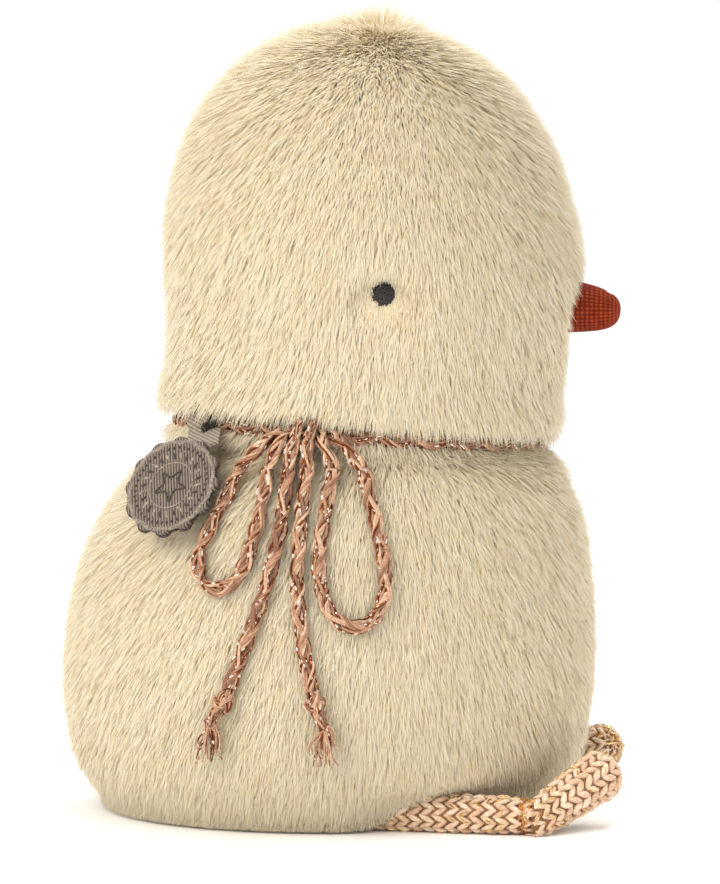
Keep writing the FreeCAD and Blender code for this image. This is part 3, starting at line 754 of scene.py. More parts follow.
def laid_tree():
    """One small piece laid at each guide point, along and facing as the point's attributes say."""
    tree, given = start_tree(
        "Laid pieces", Geometry=("Guide",), Object=("Piece",), Material=("Finish",)
    )
    along, out, grow = (named(tree, name, "FLOAT_VECTOR") for name in ("along", "out", "grow"))
    dots = node(tree, "GeometryNodeMeshToPoints", {"Mesh": given["Guide"]}).outputs["Points"]
    made = instances(tree, dots, given["Piece"], along, out, grow)
    end_tree(tree, made, given["Finish"])
    return tree


def grown(name, base, tree, **values):
    """The plain mesh that a tree makes on a base object, which it then replaces."""
    modifier = base.modifiers.new("Nodes", "NODES")
    modifier.node_group = tree
    inputs = {
        item.name: item.identifier
        for item in tree.interface.items_tree
        if item.item_type == "SOCKET" and item.in_out == "INPUT"
    }
    for socket, value in values.items():
        modifier[inputs[socket.replace("_", " ")]] = value
    bpy.context.view_layer.update()
    seen = base.evaluated_get(bpy.context.evaluated_depsgraph_get())
    mesh = bpy.data.meshes.new_from_object(seen)
    removed(base)
    mesh.name = name
    if len(mesh.polygons) == 0:
        raise RuntimeError(f"{name} came out empty")
    return linked(name, mesh)


def guide(places, along, out, grow, tones):
    """Guide points for laid_tree."""
    mesh = bpy.data.meshes.new("guide")
    mesh.from_pydata(np.asarray(places).tolist(), [], [])
    for name, values in (("along", along), ("out", out), ("grow", grow)):
        set_attribute(mesh, name, "FLOAT_VECTOR", values)
    set_attribute(mesh, "tone", "FLOAT", tones)
    return linked("guide", mesh)


_trees = {}


def tree_of(maker):
    """A tree, made once."""
    if maker not in _trees:
        _trees[maker] = maker()
    return _trees[maker]


def laid(name, guides, piece, finish):
    return grown(name, guides, tree_of(laid_tree), Piece=piece, Finish=finish_of(finish))


# ---------------------------------------------------------------- plush


def smooth_rows(rows, count):
    """A profile's rows, made denser by a curve through them."""
    rows = np.array(rows, float)
    steps = np.linalg.norm(np.diff(rows[:, :2], axis=0), axis=1)
    at = np.concatenate([[0.0], np.cumsum(steps)])
    slope = np.gradient(rows, at, axis=0)
    where = np.linspace(0, at[-1], count)
    k = np.clip(np.searchsorted(at, where) - 1, 0, len(at) - 2)
    span = (at[k + 1] - at[k])[:, None]
    t = (where - at[k])[:, None] / span
    return (
        (2 * t**3 - 3 * t**2 + 1) * rows[k]
        + (t**3 - 2 * t**2 + t) * span * slope[k]
        + (3 * t**2 - 2 * t**3) * rows[k + 1]
        + (t**3 - t**2) * span * slope[k + 1]
    )


def shell_points(rows, origin, forward, along, depth, around):
    """Rings of points of a shell, moved inwards by a depth in millimetres."""
    angle = 2 * math.pi * np.arange(around) / around
    centre = (origin + along * (rows[:, 0:1] * MM) + forward * (rows[:, 3:4] * MM))
    ring = (
        centre[:, None]
        + (rows[:, 1:2] * MM * np.cos(angle))[..., None] * forward
        + (rows[:, 2:3] * MM * np.sin(angle))[..., None] * ASIDE
    )
    round_it = np.roll(ring, -1, 1) - np.roll(ring, 1, 1)
    up_it = np.gradient(ring, axis=0)
    outward = unit(np.cross(round_it, up_it))
    return ring - outward * depth * MM


def shell(name, rows, origin, forward, along, depth, finish, around=112, count=76):
    """A closed padded skin from a profile's rows."""
    ring = shell_points(smooth_rows(rows, count), origin, forward, along, depth, around)
    poles = np.stack([ring[0].mean(0), ring[-1].mean(0)])
    points = np.concatenate([ring.reshape(-1, 3), poles])
    return new_piece(name, points, ring_faces(count, around), [finish])


def vertex_arrays(piece):
    count = len(piece.data.vertices)
    places, normals = np.empty(count * 3), np.empty(count * 3)
    piece.data.vertices.foreach_get("co", places)
    piece.data.vertices.foreach_get("normal", normals)
    return places.reshape(-1, 3), normals.reshape(-1, 3)


def blend_in(value, low, high):
    share = np.clip((value - low) / (high - low), 0, 1)
    return share * share * (3 - 2 * share)


def combing(places, normals, parting):
    """The pile's lie: down and away from the crown, flat in the skin."""
    away = places - parting
    away[:, 2] = 0
    down = unit(np.array((-0.12, 0.16, -1.0)) + 0.15 * unit(away))
    flat = down - normals * (down * normals).sum(1, keepdims=True)
    # Where the lie would part, at the crown, the pile stands up instead.
    steep = np.linalg.norm(flat, axis=1, keepdims=True)
    return unit(flat) * blend_in(steep, 0.0, 0.3)


def outward_at_neck(lay, places, near, rise):
    """Turns the pile at the neck outwards, so that it closes over the fabric beside the cord."""
    from_axis = places - NECK_CENTRE
    from_axis = unit(from_axis - NECK_ALONG * (from_axis @ NECK_ALONG)[:, None])
    turned = from_axis * 0.7 + NECK_ALONG * rise
    return lay * (1 - near[:, None]) + turned * near[:, None]


def head_pile(places, normals):
    """Pile length, lie and warmth on the head, with painted shade on its front top."""
    height = (places - NECK_CENTRE) @ NECK_ALONG / MM
    crown = NECK_CENTRE + NECK_ALONG * 0.08
    lay = combing(places, normals, crown) * 0.85
    near = 1 - blend_in(height, 1.0, 5.5)
    lay = outward_at_neck(lay, places, near, -0.5)
    length = 1.0 + 0.4 * (1 - blend_in(height, 1.0, 6.0))
    # An even warm tint, and painted shade on the front top, the side away from the key light.
    warm = 0.08 + 0.06 * blend_in(places[:, 0], -0.005, 0.03) * blend_in(places[:, 2], 0.10, 0.14)
    for side, _ in SIDES:
        low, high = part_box("eye_" + side)
        apart = np.linalg.norm(places - np.array((low + high) / 2), axis=1) / MM
        length *= 0.2 + 0.8 * blend_in(apart, 3.9, 8.5)
    low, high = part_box("beak_cover")
    root = np.array((low.x, 0.0, (low.z + high.z) / 2))
    apart = np.linalg.norm((places - root)[:, 1:], axis=1) / MM
    front = places[:, 0] > NECK_CENTRE[0]
    length *= np.where(front, 0.45 + 0.55 * blend_in(apart, 5.0, 10.5), 1.0)
    return length, lay, warm


def torso_pile(places, normals):
    """Pile length, lie and warmth on the torso, with painted shade on its front, and darker towards
    the bottom.
    """
    height = places[:, 2] / MM
    under = blend_in(-normals[:, 2], 0.55, 0.95)
    away = places - np.array((-0.0039, 0.0, 0.0))
    away[:, 2] = 0
    below = (NECK_CENTRE - places) @ NECK_ALONG / MM
    lay = combing(places, normals, NECK_CENTRE) * 0.9
    lay = outward_at_neck(lay, places, 1 - blend_in(below, 1.0, 5.5), -0.2)
    lay = lay * (1 - under[:, None]) + unit(away) * under[:, None] * 1.6
    length = (1.0 - 0.3 * (1 - blend_in(below, 2.0, 9.0))) * (1 - 0.72 * under)
    length *= foot_clearance(places)
    # An even warm tint, painted shade on the front, the side away from the key light, and a darker
    # tone towards the bottom.
    warm = 0.08 + 0.06 * blend_in(places[:, 0], 0.0, 0.04) + 0.05 * blend_in(-height, -30.0, -5.0)
    return length, lay, warm


def foot_clearance(places):
    """The pile is short where a foot lies against it, so that the foot shows."""
    share = np.ones(len(places))
    for side, _ in SIDES:
        low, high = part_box("foot_" + side)
        middle = (low.y + high.y) / 2
        beside = np.abs(places[:, 1] - middle) / MM
        ahead = places[:, 0] / MM
        high_up = places[:, 2] / MM
        near = blend_in(ahead, 2.0, 12.0) * (1 - blend_in(beside, 9.0, 14.0))
        share *= 1 - 0.55 * near * (1 - blend_in(high_up, 9.0, 17.0))
    return share


def strand_object():
    """One fibre of pile: rooted at the origin, a unit long, widest half way, its tip curled."""
    points = ((0.0, 0.0, 0.0), (0.5, -0.02, 0.52), (-0.5, -0.02, 0.52), (0.0, -0.17, 1.0))
    made = new_piece("strand", points, [(0, 2, 1), (1, 2, 3)], ["plush"])
    set_attribute(made.data, "reach", "FLOAT", (0.0, 0.5, 0.5, 1.0))
    set_attribute(made.data, "side", "FLOAT", (0.0, 1.0, -1.0, 0.0))
    return made


def grow_pile(skin, body, sizes, lengths, seed):
    """The pile on one skin, in four quarters, each a plain mesh on the skin's body."""
    places, normals = vertex_arrays(skin)
    pile, lay, warm = lengths(places.copy(), normals)
    faces = np.array([f.vertices[:] for f in skin.data.polygons if len(f.vertices) == 4])
    rest = [tuple(f.vertices) for f in skin.data.polygons if len(f.vertices) != 4]
    centre = places.mean(0)
    middle = places[faces].mean(1) - centre
    quarter = (middle[:, 0] > 0).astype(int) * 2 + (middle[:, 1] > 0)
    names = ("back_right", "back_left", "front_right", "front_left")
    strand = strand_object()
    for k, name in enumerate(names):
        chosen = [tuple(f) for f in faces[quarter == k].tolist()]
        if k == 0:
            chosen += rest
        mesh = bpy.data.meshes.new("quarter")
        mesh.from_pydata(places.tolist(), [], chosen)
        set_attribute(mesh, "pile", "FLOAT", pile)
        set_attribute(mesh, "lay", "FLOAT_VECTOR", lay)
        set_attribute(mesh, "warm", "FLOAT", warm)
        base = linked("quarter", mesh)
        piece = grown(
            f"{body}_pile_{name}",
            base,
            tree_of(pile_tree),
            Strand=strand,
            Density=sizes.density * 1e6 * 1.0,
            Length=sizes.length,
            Width=sizes.width,
            Lift=sizes.lift,
            Tuft_size=sizes.tuft,
            Tuft_lean=sizes.lean,
            Wander=sizes.wander,
            Seed=seed + k,
            Finish=finish_of("plush"),
        )
        soften(piece)
        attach(piece, body)
    removed(strand)


def soften(piece):
    """Keeps the pile above the floor, and shades flat strands as the skin under them."""
    mesh = piece.data
    above_floor(mesh, 0.0003)
    count = len(mesh.vertices)
    own, rise = np.empty(count * 3), np.empty(count * 3)
    mesh.vertices.foreach_get("normal", own)
    mesh.attributes["rise"].data.foreach_get("vector", rise)
    own, rise = own.reshape(-1, 3), unit(rise.reshape(-1, 3))
    # Only strands that lie flat take the skin's shading: a standing one keeps its own.
    flat = 0.92 * blend_in((own * rise).sum(1, keepdims=True), 0.15, 0.6)
    mesh.normals_split_custom_set_from_vertices(unit((1 - flat) * own + flat * rise).tolist())
    mesh.attributes.remove(mesh.attributes["rise"])


# ---------------------------------------------------------------- settings


def length_setting(label, description, default):
    return bpy.props.FloatProperty(
        name=label,
        description=description,
        default=default,
        min=0.0,
        subtype="DISTANCE",
        unit="LENGTH",
        precision=5,
    )


class ChickPile(bpy.types.PropertyGroup):
    """Sizes of the plush pile."""

    depth: length_setting("Depth", "How far the pile's roots lie inside the shell", 0.0020)
    length: length_setting("Length", "Length of a strand of pile", 0.0072)
    width: length_setting("Width", "Width of a strand at its middle", 0.00026)
    tuft: length_setting("Tuft", "Width of the tufts that lean together", 0.0016)
    density: bpy.props.FloatProperty(
        name="Density", description="Strands on each square millimetre", default=11.4
    )
    lift: bpy.props.FloatProperty(
        name="Lift", description="How steeply the strands stand up", default=0.6
    )
    lean: bpy.props.FloatProperty(
        name="Lean", description="How much the tufts lean apart", default=0.3
    )
    wander: bpy.props.FloatProperty(
        name="Wander", description="How much each strand goes its own way", default=0.17
    )


class ChickKnit(bpy.types.PropertyGroup):
    """Sizes of the knitted feet."""

    columns: bpy.props.IntProperty(
        name="Columns", description="Columns of stitches round a foot", default=8
    )
    row: length_setting("Row", "Height of a row of stitches", 0.0024)
    yarn: length_setting("Yarn", "Radius of the knitting yarn", 0.00056)


class ChickBeak(bpy.types.PropertyGroup):
    """Sizes of the linen beak."""

    spacing: length_setting("Thread spacing", "Distance between linen threads", 0.00095)
    relief: length_setting("Relief", "Height of the linen threads", 0.00012)


def settings():
    scene = bpy.context.scene
    return scene.chick_pile, scene.chick_knit, scene.chick_beak


# ---------------------------------------------------------------- operators


class CHICK_OT_head(bpy.types.Operator):
    """Makes the head's padded skin and its combed pile"""

    bl_idname = "chick.head"
    bl_label = "Head plush"

    def execute(self, context):
        sizes = context.scene.chick_pile
        rows = [
            (h * HEAD_HEIGHT, x * HEAD_LENGTH, y * HEAD_WIDTH, shift)
            for h, x, y, shift in HEAD_SHARES
        ]
        skin = shell(
            "head_skin",
            rows,
            NECK_CENTRE,
            NECK_FORWARD,
            NECK_ALONG,
            sizes.depth / MM,
            "backing",
        )
        grow_pile(skin, "head", sizes, head_pile, 20)
        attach(skin, "head")
        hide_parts(*[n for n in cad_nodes("head_panel")])
        return {"FINISHED"}


class CHICK_OT_torso(bpy.types.Operator):
    """Makes the torso's padded skin and its combed pile"""

    bl_idname = "chick.torso"
    bl_label = "Torso plush"

    def execute(self, context):
        sizes = context.scene.chick_pile
        skin = shell(
            "torso_skin",
            TORSO_ROWS,
            np.zeros(3),
            np.array((1.0, 0.0, 0.0)),
            np.array((0.0, 0.0, 1.0)),
            sizes.depth / MM,
            "backing",
        )
        places, _ = vertex_arrays(skin)
        low = places[:, 2].min()
        top = places[:, 2].max()
        # The inset skin is let down again onto its base, so that only short pile is under it.
        share = (top - places[:, 2]) / (top - low)
        places[:, 2] -= share**6 * (low - 0.0016)
        skin.data.vertices.foreach_set("co", places.ravel())
        skin.data.update()
        grow_pile(skin, "torso", sizes, torso_pile, 40)
        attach(skin, "torso")
        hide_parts(*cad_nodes("torso_panel"), "base_panel")
        return {"FINISHED"}


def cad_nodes(start):
    """The frame's nodes whose names start so."""
    found = [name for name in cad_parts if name.startswith(start)]
    if not found:
        raise RuntimeError(f"the frame has no node {start}")
    return sorted(found)


def round_seed(name):
    return sum(ord(c) * (i + 3) for i, c in enumerate(name)) % 1000


def cord_piece(name, line, body, replaced):
    lines, tones = metallic_braid(line, CORD_SIZE, round_seed(name))
    made = tubes(name, lines, ["rose", "copper"], tones=tones)
    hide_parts(*replaced)
    if body:
        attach(made, body)
    return made


def stop_knot(name, tail, loose_end, body, start):
    """The overhand knot that stops a tail: a trefoil of cord, and the stretch that runs through it."""
    low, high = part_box(loose_end)
    end = np.array(((low.x + high.x) / 2, (low.y + high.y) / 2, high.z - 0.0022))
    low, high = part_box(tail)
    centre = np.array((low + high) / 2)
    wide = min((high - low)[:]) / 2
    turn = np.linspace(0, 2 * math.pi, 90)
    pipe = wide * 0.36
    reach = (wide - pipe) / 3
    line = np.stack(
        [
            reach * (np.sin(turn) + 2 * np.sin(2 * turn)),
            reach * (np.cos(turn) - 2 * np.cos(2 * turn)),
            -reach * 1.3 * np.sin(3 * turn),
        ],
        1,
    )
    tipped = np.array(((0.95, 0.0, 0.3), (-0.3, 0.2, 0.93), (0.0, -0.97, 0.2)))
    line = line @ tipped + centre
    lines, tones = metallic_braid(line, pipe * 2.15 / MM, round_seed(name), 9.0)
    t = np.linspace(0, 1, 24)[:, None]
    through = (1 - t) ** 2 * start + 2 * t * (1 - t) * centre + t**2 * end
    more, shade = metallic_braid(through, CORD_SIZE * 0.86, round_seed(name) + 1)
    made = tubes(name, lines + more, ["rose", "copper"], sides=5, tones=tones + shade)
    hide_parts(tail)
    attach(made, body)
    return made


def fray(name, tail, body, seed):
    """A tail's loose end: its yarns untwisted and spread like a small brush."""
    low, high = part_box(tail)
    top = np.array((low + high) / 2)
    top[2] = high.z - 0.0014
    long = (high - low).z
    drift = np.array(((low.x + high.x) / 2, (low.y + high.y) / 2, low.z)) - top
    random = np.random.default_rng(seed)
    lines, tones = [], []
    t = np.linspace(0, 1, 10)[:, None]
    for k in range(30):
        turn = random.uniform(0, 2 * math.pi)
        spread = random.uniform(0.4, 3.1) * MM
        side = np.array((math.cos(turn), 0.55 * math.sin(turn), 0.0))
        end = drift * random.uniform(0.6, 1.05) + side * spread
        wave = 0.6 * MM * np.sin(t * random.uniform(3, 7) + turn)
        line = top + side * 0.7 * MM * (1 - t) + end * t + side * wave + drift * 0.02
        copper = k % 3 == 0
        wide = (0.22 if copper else 0.3) * MM
        lines.append((line, wide * np.linspace(1.2, 0.45, 10), 1 if copper else 0, 0.3))
        tones.append(random.uniform(0.3, 1.0))
    made = tubes(name, lines, ["rose", "copper"], sides=4, tones=tones)
    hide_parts(tail)
    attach(made, body)
    return made


class CHICK_OT_cords(bpy.types.Operator):
    """Makes the bow's two loops and two tails, with their knots and frays"""

    bl_idname = "chick.cords"
    bl_label = "Hanging cords"

    def execute(self, context):
        for name, route, length, seed in (
            ("bow_tail_rear", REAR_TAIL, 43.7, 5),
            ("bow_tail_front", FRONT_TAIL, 42.6, 6),
            ("bow_loop_rear", REAR_LOOP, 54.5, 0),
            ("bow_loop_front", FRONT_LOOP, 67.3, 0),
        ):
            path = smooth_line(route)
            made = cord_piece(name + "_cord", path, None, [name])
            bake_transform(made)
            if seed:
                side = name.split("_")[-1]
                knot, loose_end = f"tail_knot_{side}", f"tail_fray_{side}"
                stop_knot(knot + "_cord", knot, loose_end, name, path[-1])
                fray(f"tail_fray_{side}_yarns", f"tail_fray_{side}", name, seed)
        return {"FINISHED"}


class CHICK_OT_neck_cord(bpy.types.Operator):
    """Makes the cord round the neck and the bow's gathered knot"""

    bl_idname = "chick.neck_cord"
    bl_label = "Neck cord and knot"

    def execute(self, context):
        turn = np.linspace(0, 2 * math.pi, 361) + math.radians(200)
        ring = RING_RADIUS * MM
        line = (
            NECK_CENTRE
            + np.cos(turn)[:, None] * NECK_FORWARD * ring
            + np.sin(turn)[:, None] * ASIDE * ring
        )
        cord_piece("neck_cord_braid", line, "torso", ["neck_cord"])
        low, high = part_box("bow_knot")
        centre = np.array((low + high) / 2)
        centre[2] = 0.0765
        centre[1] = -0.0385
        lines, tones = [], []
        ends = [REAR_LOOP[0], REAR_LOOP[-1], REAR_TAIL[0],
                FRONT_TAIL[0], FRONT_LOOP[0], FRONT_LOOP[-1]]
        for k, end in enumerate(ends):
            end = np.array(end) * MM
            t = np.linspace(0, 1, 20)[:, None]
            side = (k - 2.5) / 2.5
            top = centre + np.array((side * 0.0042, 0.0006, 0.0004 * (1 - side**2)))
            lead = np.array((end[0] * 0.55 + top[0] * 0.45, end[1] - 0.0012, end[2] + 0.0050))
            path = (1 - t) ** 2 * top + 2 * t * (1 - t) * lead + t**2 * end
            one, shade = metallic_braid(path, 2.9, 70 + k)
            lines += one
            tones += shade
        # Two wraps hold the gathered cords against the neck cord.
        for k, shift in enumerate((-0.0012, 0.0014)):
            turn = np.linspace(0, 2 * math.pi, 40)
            loop = centre + np.stack(
                [
                    np.full(40, shift) + 0.0007 * np.sin(turn),
                    0.0024 * np.cos(turn),
                    0.0022 * np.sin(turn),
                ],
                1,
            )
            one, shade = metallic_braid(loop, 2.2, 90 + k)
            lines += one
            tones += shade
        made = tubes("bow_knot_gather", lines, ["rose", "copper"], sides=5, tones=tones)
        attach(made, "torso")
        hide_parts("bow_knot")
        return {"FINISHED"}


def knit_leg():
    """One leg of a stitch, or a satin stitch: a plump lobe a unit long, thickest in its middle."""
    rows, sides = 7, 6
    t = np.linspace(0, 1, rows)
    radius = np.sin(math.pi * np.clip(t, 0.06, 0.94)) ** 0.55
    turn = 2 * math.pi * np.arange(sides) / sides
    bowed = (0.5 * np.sin(math.pi * t) - 0.35)[:, None]
    lobe = (
        np.outer(radius, np.cos(turn)),
        np.outer(radius, np.sin(turn)) + bowed,
        np.repeat((t - 0.5)[:, None], sides, 1),
    )
    last = (rows - 1) * sides
    faces = ring_faces(rows, sides)[:last]
    faces += [tuple(range(sides - 1, -1, -1)), tuple(last + j for j in range(sides))]
    made = new_piece("leg", np.stack(lobe, -1).reshape(-1, 3), faces, ["knit"])
    set_attribute(made.data, "reach", "FLOAT", np.repeat(t, sides))
    set_attribute(made.data, "side", "FLOAT", np.tile(np.cos(turn), rows))
    return made


def film_strip():
    """One flat strip of metallised film: a unit long, bowed outwards."""
    t = np.linspace(0, 1, 5)
    bow = np.sin(math.pi * t)
    points, faces = [], []
    for edge, high in ((-1, 0.0), (1, 0.0), (1, -0.5), (-1, -0.5)):
        points += [(edge, b + high, z - 0.5) for b, z in zip(bow, t)]
    for side in range(4):
        for i in range(4):
            a, b = side * 5 + i, (side + 1) % 4 * 5 + i
            faces.append((a, a + 1, b + 1, b))
    faces += [(0, 5, 10, 15), (19, 14, 9, 4)]
    made = new_piece("strip", points, faces, ["gold"], smooth=False)
    mesh = made.data
    set_attribute(mesh, "reach", "FLOAT", np.tile(t, 4))
    set_attribute(mesh, "side", "FLOAT", np.repeat((-1.0, 1.0, 0.7, -0.7), 5))
    return made


def knitted(name, axis, radii, bound, body, replaced, seed, sizes):
    """A stuffed knitted cord along an axis: columns of V stitches over an inside painted dark as
    shade, gold run in.

    bound says which end, -1 the start or 1 the end, a binding draws in; the other is rounded."""
    start, end = (np.asarray(p, float) for p in axis)
    long = np.linalg.norm(end - start)
    along = (end - start) / long
    up = np.array((0.0, 0.0, 1.0)) if abs(along[2]) < 0.9 else np.array((1.0, 0.0, 0.0))
    across = unit(np.cross(up, along))
    over = np.cross(along, across)
    random = np.random.default_rng(seed)

    def profile(at):
        """Distance along, radius and slope of the surface, with rounded ends past the axis."""
        share = np.clip(at / long, 0, 1)
        radius = radii[0] + (radii[1] - radii[0]) * share
        past = np.where(at > long, at - long, np.where(at < 0, -at, 0.0))
        bend = np.clip(past / radius, 0, 1.48)
        tied = (at > long) if bound > 0 else (at < 0)
        drawn = radius * (1 - 0.2 * np.clip(past / bind, 0, 1) ** 2)
        rounded = np.where(at > long, long + radius * np.sin(bend), -radius * np.sin(bend))
        place = np.where((past > 0) & ~tied, rounded, at)
        lean = np.where(tied | (past == 0), 0.0, np.where(at > long, bend, -bend))
        return place, np.where(tied, drawn, radius * np.cos(bend)), lean

    bind = 3.5 * MM
    before = bind if bound < 0 else radii[0] * 1.45
    after = bind if bound > 0 else radii[1] * 1.5
    rows = round((before + long + after) / sizes.row)
    places, ways, outs, grows, tones = [], [], [], [], []
    gold = ([], [], [], [], [])
    for i in range(rows + 1):
        at = i * sizes.row - before
        place, radius, lean = (float(v) for v in profile(np.array(at)))
        for j in range(sizes.columns):
            turn = 2 * math.pi * (j + 0.5 * (seed % 2)) / sizes.columns
            for hand in (-1, 1):
                quarter = hand * 0.25 * 2 * math.pi / sizes.columns
                angle = turn + quarter
                ring = math.cos(angle) * across + math.sin(angle) * over
                tangent = -math.sin(angle) * across + math.cos(angle) * over
                forward = along * math.cos(lean) - ring * math.sin(lean)
                out = ring * math.cos(lean) + along * math.sin(lean)
                sunk = radius - 0.55 * sizes.yarn
                spot = start + along * place + ring * sunk + out * random.normal(0, 0.00007)
                way = forward * 0.87 + tangent * hand * 0.46 + random.normal(0, 0.05, 3)
                share = max(radius / radii[0], 0.35)
                places.append(spot)
                ways.append(way)
                outs.append(out)
                wide = sizes.yarn * min(share, 1.15) * random.uniform(0.92, 1.1)
                grows.append((wide, wide, sizes.row * 1.36))
                tones.append(random.uniform(0.2, 0.9))
                if random.random() < 0.34:
                    shift = tangent * random.uniform(-0.5, 0.5) * sizes.yarn
                    gold[0].append(spot + out * 0.72 * sizes.yarn + shift)
                    gold[1].append(way + tangent * random.normal(0, 0.25))
                    gold[2].append(out + tangent * random.normal(0, 0.4))
                    gold[3].append((0.00010, 0.00038, sizes.row * random.uniform(0.6, 1.2)))
                    gold[4].append(random.random())
    leg, strip = knit_leg(), film_strip()
    stitches = guide(places, ways, outs, grows, tones)
    made = laid(name + "_stitches", stitches, leg, "knit")
    film = laid(name + "_gold", guide(*gold), strip, "gold")
    removed(leg, strip)
    place, radius, _ = profile(np.linspace(-before, long + after, 26))
    turn = 2 * math.pi * np.arange(24) / 24
    inner = np.maximum(radius - 1.0 * sizes.yarn, 0.0002)[:, None, None]
    ring = start + along * place[:, None, None] + wheel(turn, across, over) * inner
    points = np.concatenate([ring.reshape(-1, 3), [ring[0].mean(0), ring[-1].mean(0)]])
    faces = ring_faces(26, 24)
    core = new_piece(name + "_inside", points, faces, ["knit_inside_shade"])
    for piece in (made, film, core):
        above_floor(piece.data, 0.0001)
        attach(piece, body)
    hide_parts(replaced)


class CHICK_OT_feet(bpy.types.Operator):
    """Makes the knitted feet and toes and the threads that bind them"""

    bl_idname = "chick.feet"
    bl_label = "Knitted feet"

    def execute(self, context):
        sizes = context.scene.chick_knit
        for side, hand in SIDES:
            for kind, first, last, radii, bound, body, seed in (
                ("foot_", (8.0, 32.5, 3.6), (33.85, 36.0, 3.6), (3.6, 3.6), 1, "torso", 7),
                ("toe_", (41.15, 36.0, 3.6), (51.3, 24.3, 9.45), (3.6, 4.7), -1, "toe_" + side, 20),
            ):
                mirror = np.array((1.0, hand, 1.0)) * MM
                axis = (np.array(first) * mirror, np.array(last) * mirror)
                radii = (radii[0] * MM, radii[1] * MM)
                name = kind + side
                knitted(name, axis, radii, bound, body, name, seed + hand, sizes)
            middle = middle_of("toe_binding_" + side)
            middle[2] = 0.0035
            radius = 0.0031
            turn = np.linspace(0, 2 * math.pi, 48)
            lines = []
            for k, shift in enumerate((-0.00072, -0.00022, 0.00028, 0.0008)):
                sway = shift + 0.00025 * np.sin(turn * (1 + k % 2) + k)
                round_it = (sway, radius * np.cos(turn), radius * np.sin(turn))
                ring = middle + np.stack(round_it, 1)
                ring[:, 2] = np.maximum(ring[:, 2], 0.0004)
                lines.append((ring, 0.00036, 0, 0.2))
            made = tubes("toe_binding_threads_" + side, lines, ["binding_thread"], sides=6)
            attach(made, "torso")
            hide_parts("toe_binding_" + side)
        return {"FINISHED"}


class CHICK_OT_beak(bpy.types.Operator):
    """Makes the stuffed linen beak with its plain weave"""

    bl_idname = "chick.beak"
    bl_label = "Linen beak"

    def execute(self, context):
        sizes = context.scene.chick_beak
        low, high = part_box("beak_cover")
        height = (low.z + high.z) / 2
        long = (high.x - low.x) / MM
        wide = (high.z - low.z) / 2 / MM
        rows = np.array(BEAK_SHARES) * (long, wide)
        count = 150
        profile = smooth_rows(rows, count)
        steps = np.linalg.norm(np.diff(profile, axis=0), axis=1)
        at = np.concatenate([[0.0], np.cumsum(steps)]) * MM / sizes.spacing
        around = 192
        threads = round(2 * math.pi * wide * MM / sizes.spacing / 2) * 2
        turn = np.arange(around) / around
        u = np.broadcast_to(turn * threads, (count, around))
        v = np.broadcast_to(at[:, None], (count, around))
        over = np.cos(math.pi * (v - 0.5 + np.floor(u)))
        under = -np.cos(math.pi * (u - 0.5 + np.floor(v)))
        warp = np.sqrt(np.clip(1 - (2 * (u % 1) - 1) ** 2, 0, 1)) * (0.6 + 0.4 * over)
        weft = np.sqrt(np.clip(1 - (2 * (v % 1) - 1) ** 2, 0, 1)) * (0.6 + 0.4 * under)
        weave = np.maximum(warp, weft)
        angle = 2 * math.pi * turn
        radius = profile[:, 1:2] * MM + (weave - 0.8) * sizes.relief
        # Stuffing squares it slightly, and it slopes down a little to its tip.
        top = np.sin(angle)[None, :] * radius
        share = (profile[:, 0] / long)[:, None]
        top = top - np.maximum(top, 0) * 0.30 * share**2 - 0.0006 * share**2
        shape = (
            np.broadcast_to(low.x + profile[:, 0:1] * MM, (count, around)),
            -np.cos(angle)[None, :] * radius,
            height + top,
        )
        tips = [(low.x, 0, height), (high.x, 0, height)]
        points = np.concatenate([np.stack(shape, -1).reshape(-1, 3), tips])
        faces, corners = ring_faces(count, around), []
        for i in range(count - 1):
            down, up = i / count, (i + 1) / count
            for j in range(around):
                left, right = j / around, (j + 1) / around
                corners += [(left, down), (right, down), (right, up), (left, up)]
        for j in range(around):
            left, right = j / around, (j + 1) / around
            corners += [(right, 0.0), (left, 0.0), (left, 0.005)]
            corners += [(left, 0.995), (right, 0.995), (left, 1.0)]
        made = new_piece("beak_linen", points, faces, ["linen"])
        set_map(made.data, corners)
        weave = np.concatenate([weave.ravel(), [0.5, 0.5]])
        set_attribute(made.data, "weave", "FLOAT", weave)
        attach(made, "head")
        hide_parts("beak_cover")
        return {"FINISHED"}


class CHICK_OT_eyes(bpy.types.Operator):
    """Makes the eyes, each a knot of wound black thread"""

    bl_idname = "chick.eyes"
    bl_label = "Thread eyes"

    def execute(self, context):
        for side, hand in SIDES:
            low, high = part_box("eye_" + side)
            centre = np.array((low + high) / 2)
            half = np.array((high - low) / 2) - 0.00035
            random = np.random.default_rng(60 + hand)
            turn = np.linspace(0, 2 * math.pi, 40)
            lines = []
            for k in range(24):
                first = unit(random.normal(0, 1, 3))
                second = unit(np.cross(first, random.normal(0, 1, 3)))
                loop = wheel(turn, first, second)
                loop *= 1 + 0.05 * np.sin(3 * turn + k)[:, None]
                lines.append((centre + loop * half, 0.00026, 0, 0.2))
            made = tubes("eye_knot_" + side, lines, ["black_thread"], sides=6)
            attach(made, "head")
            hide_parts("eye_" + side)
        return {"FINISHED"}


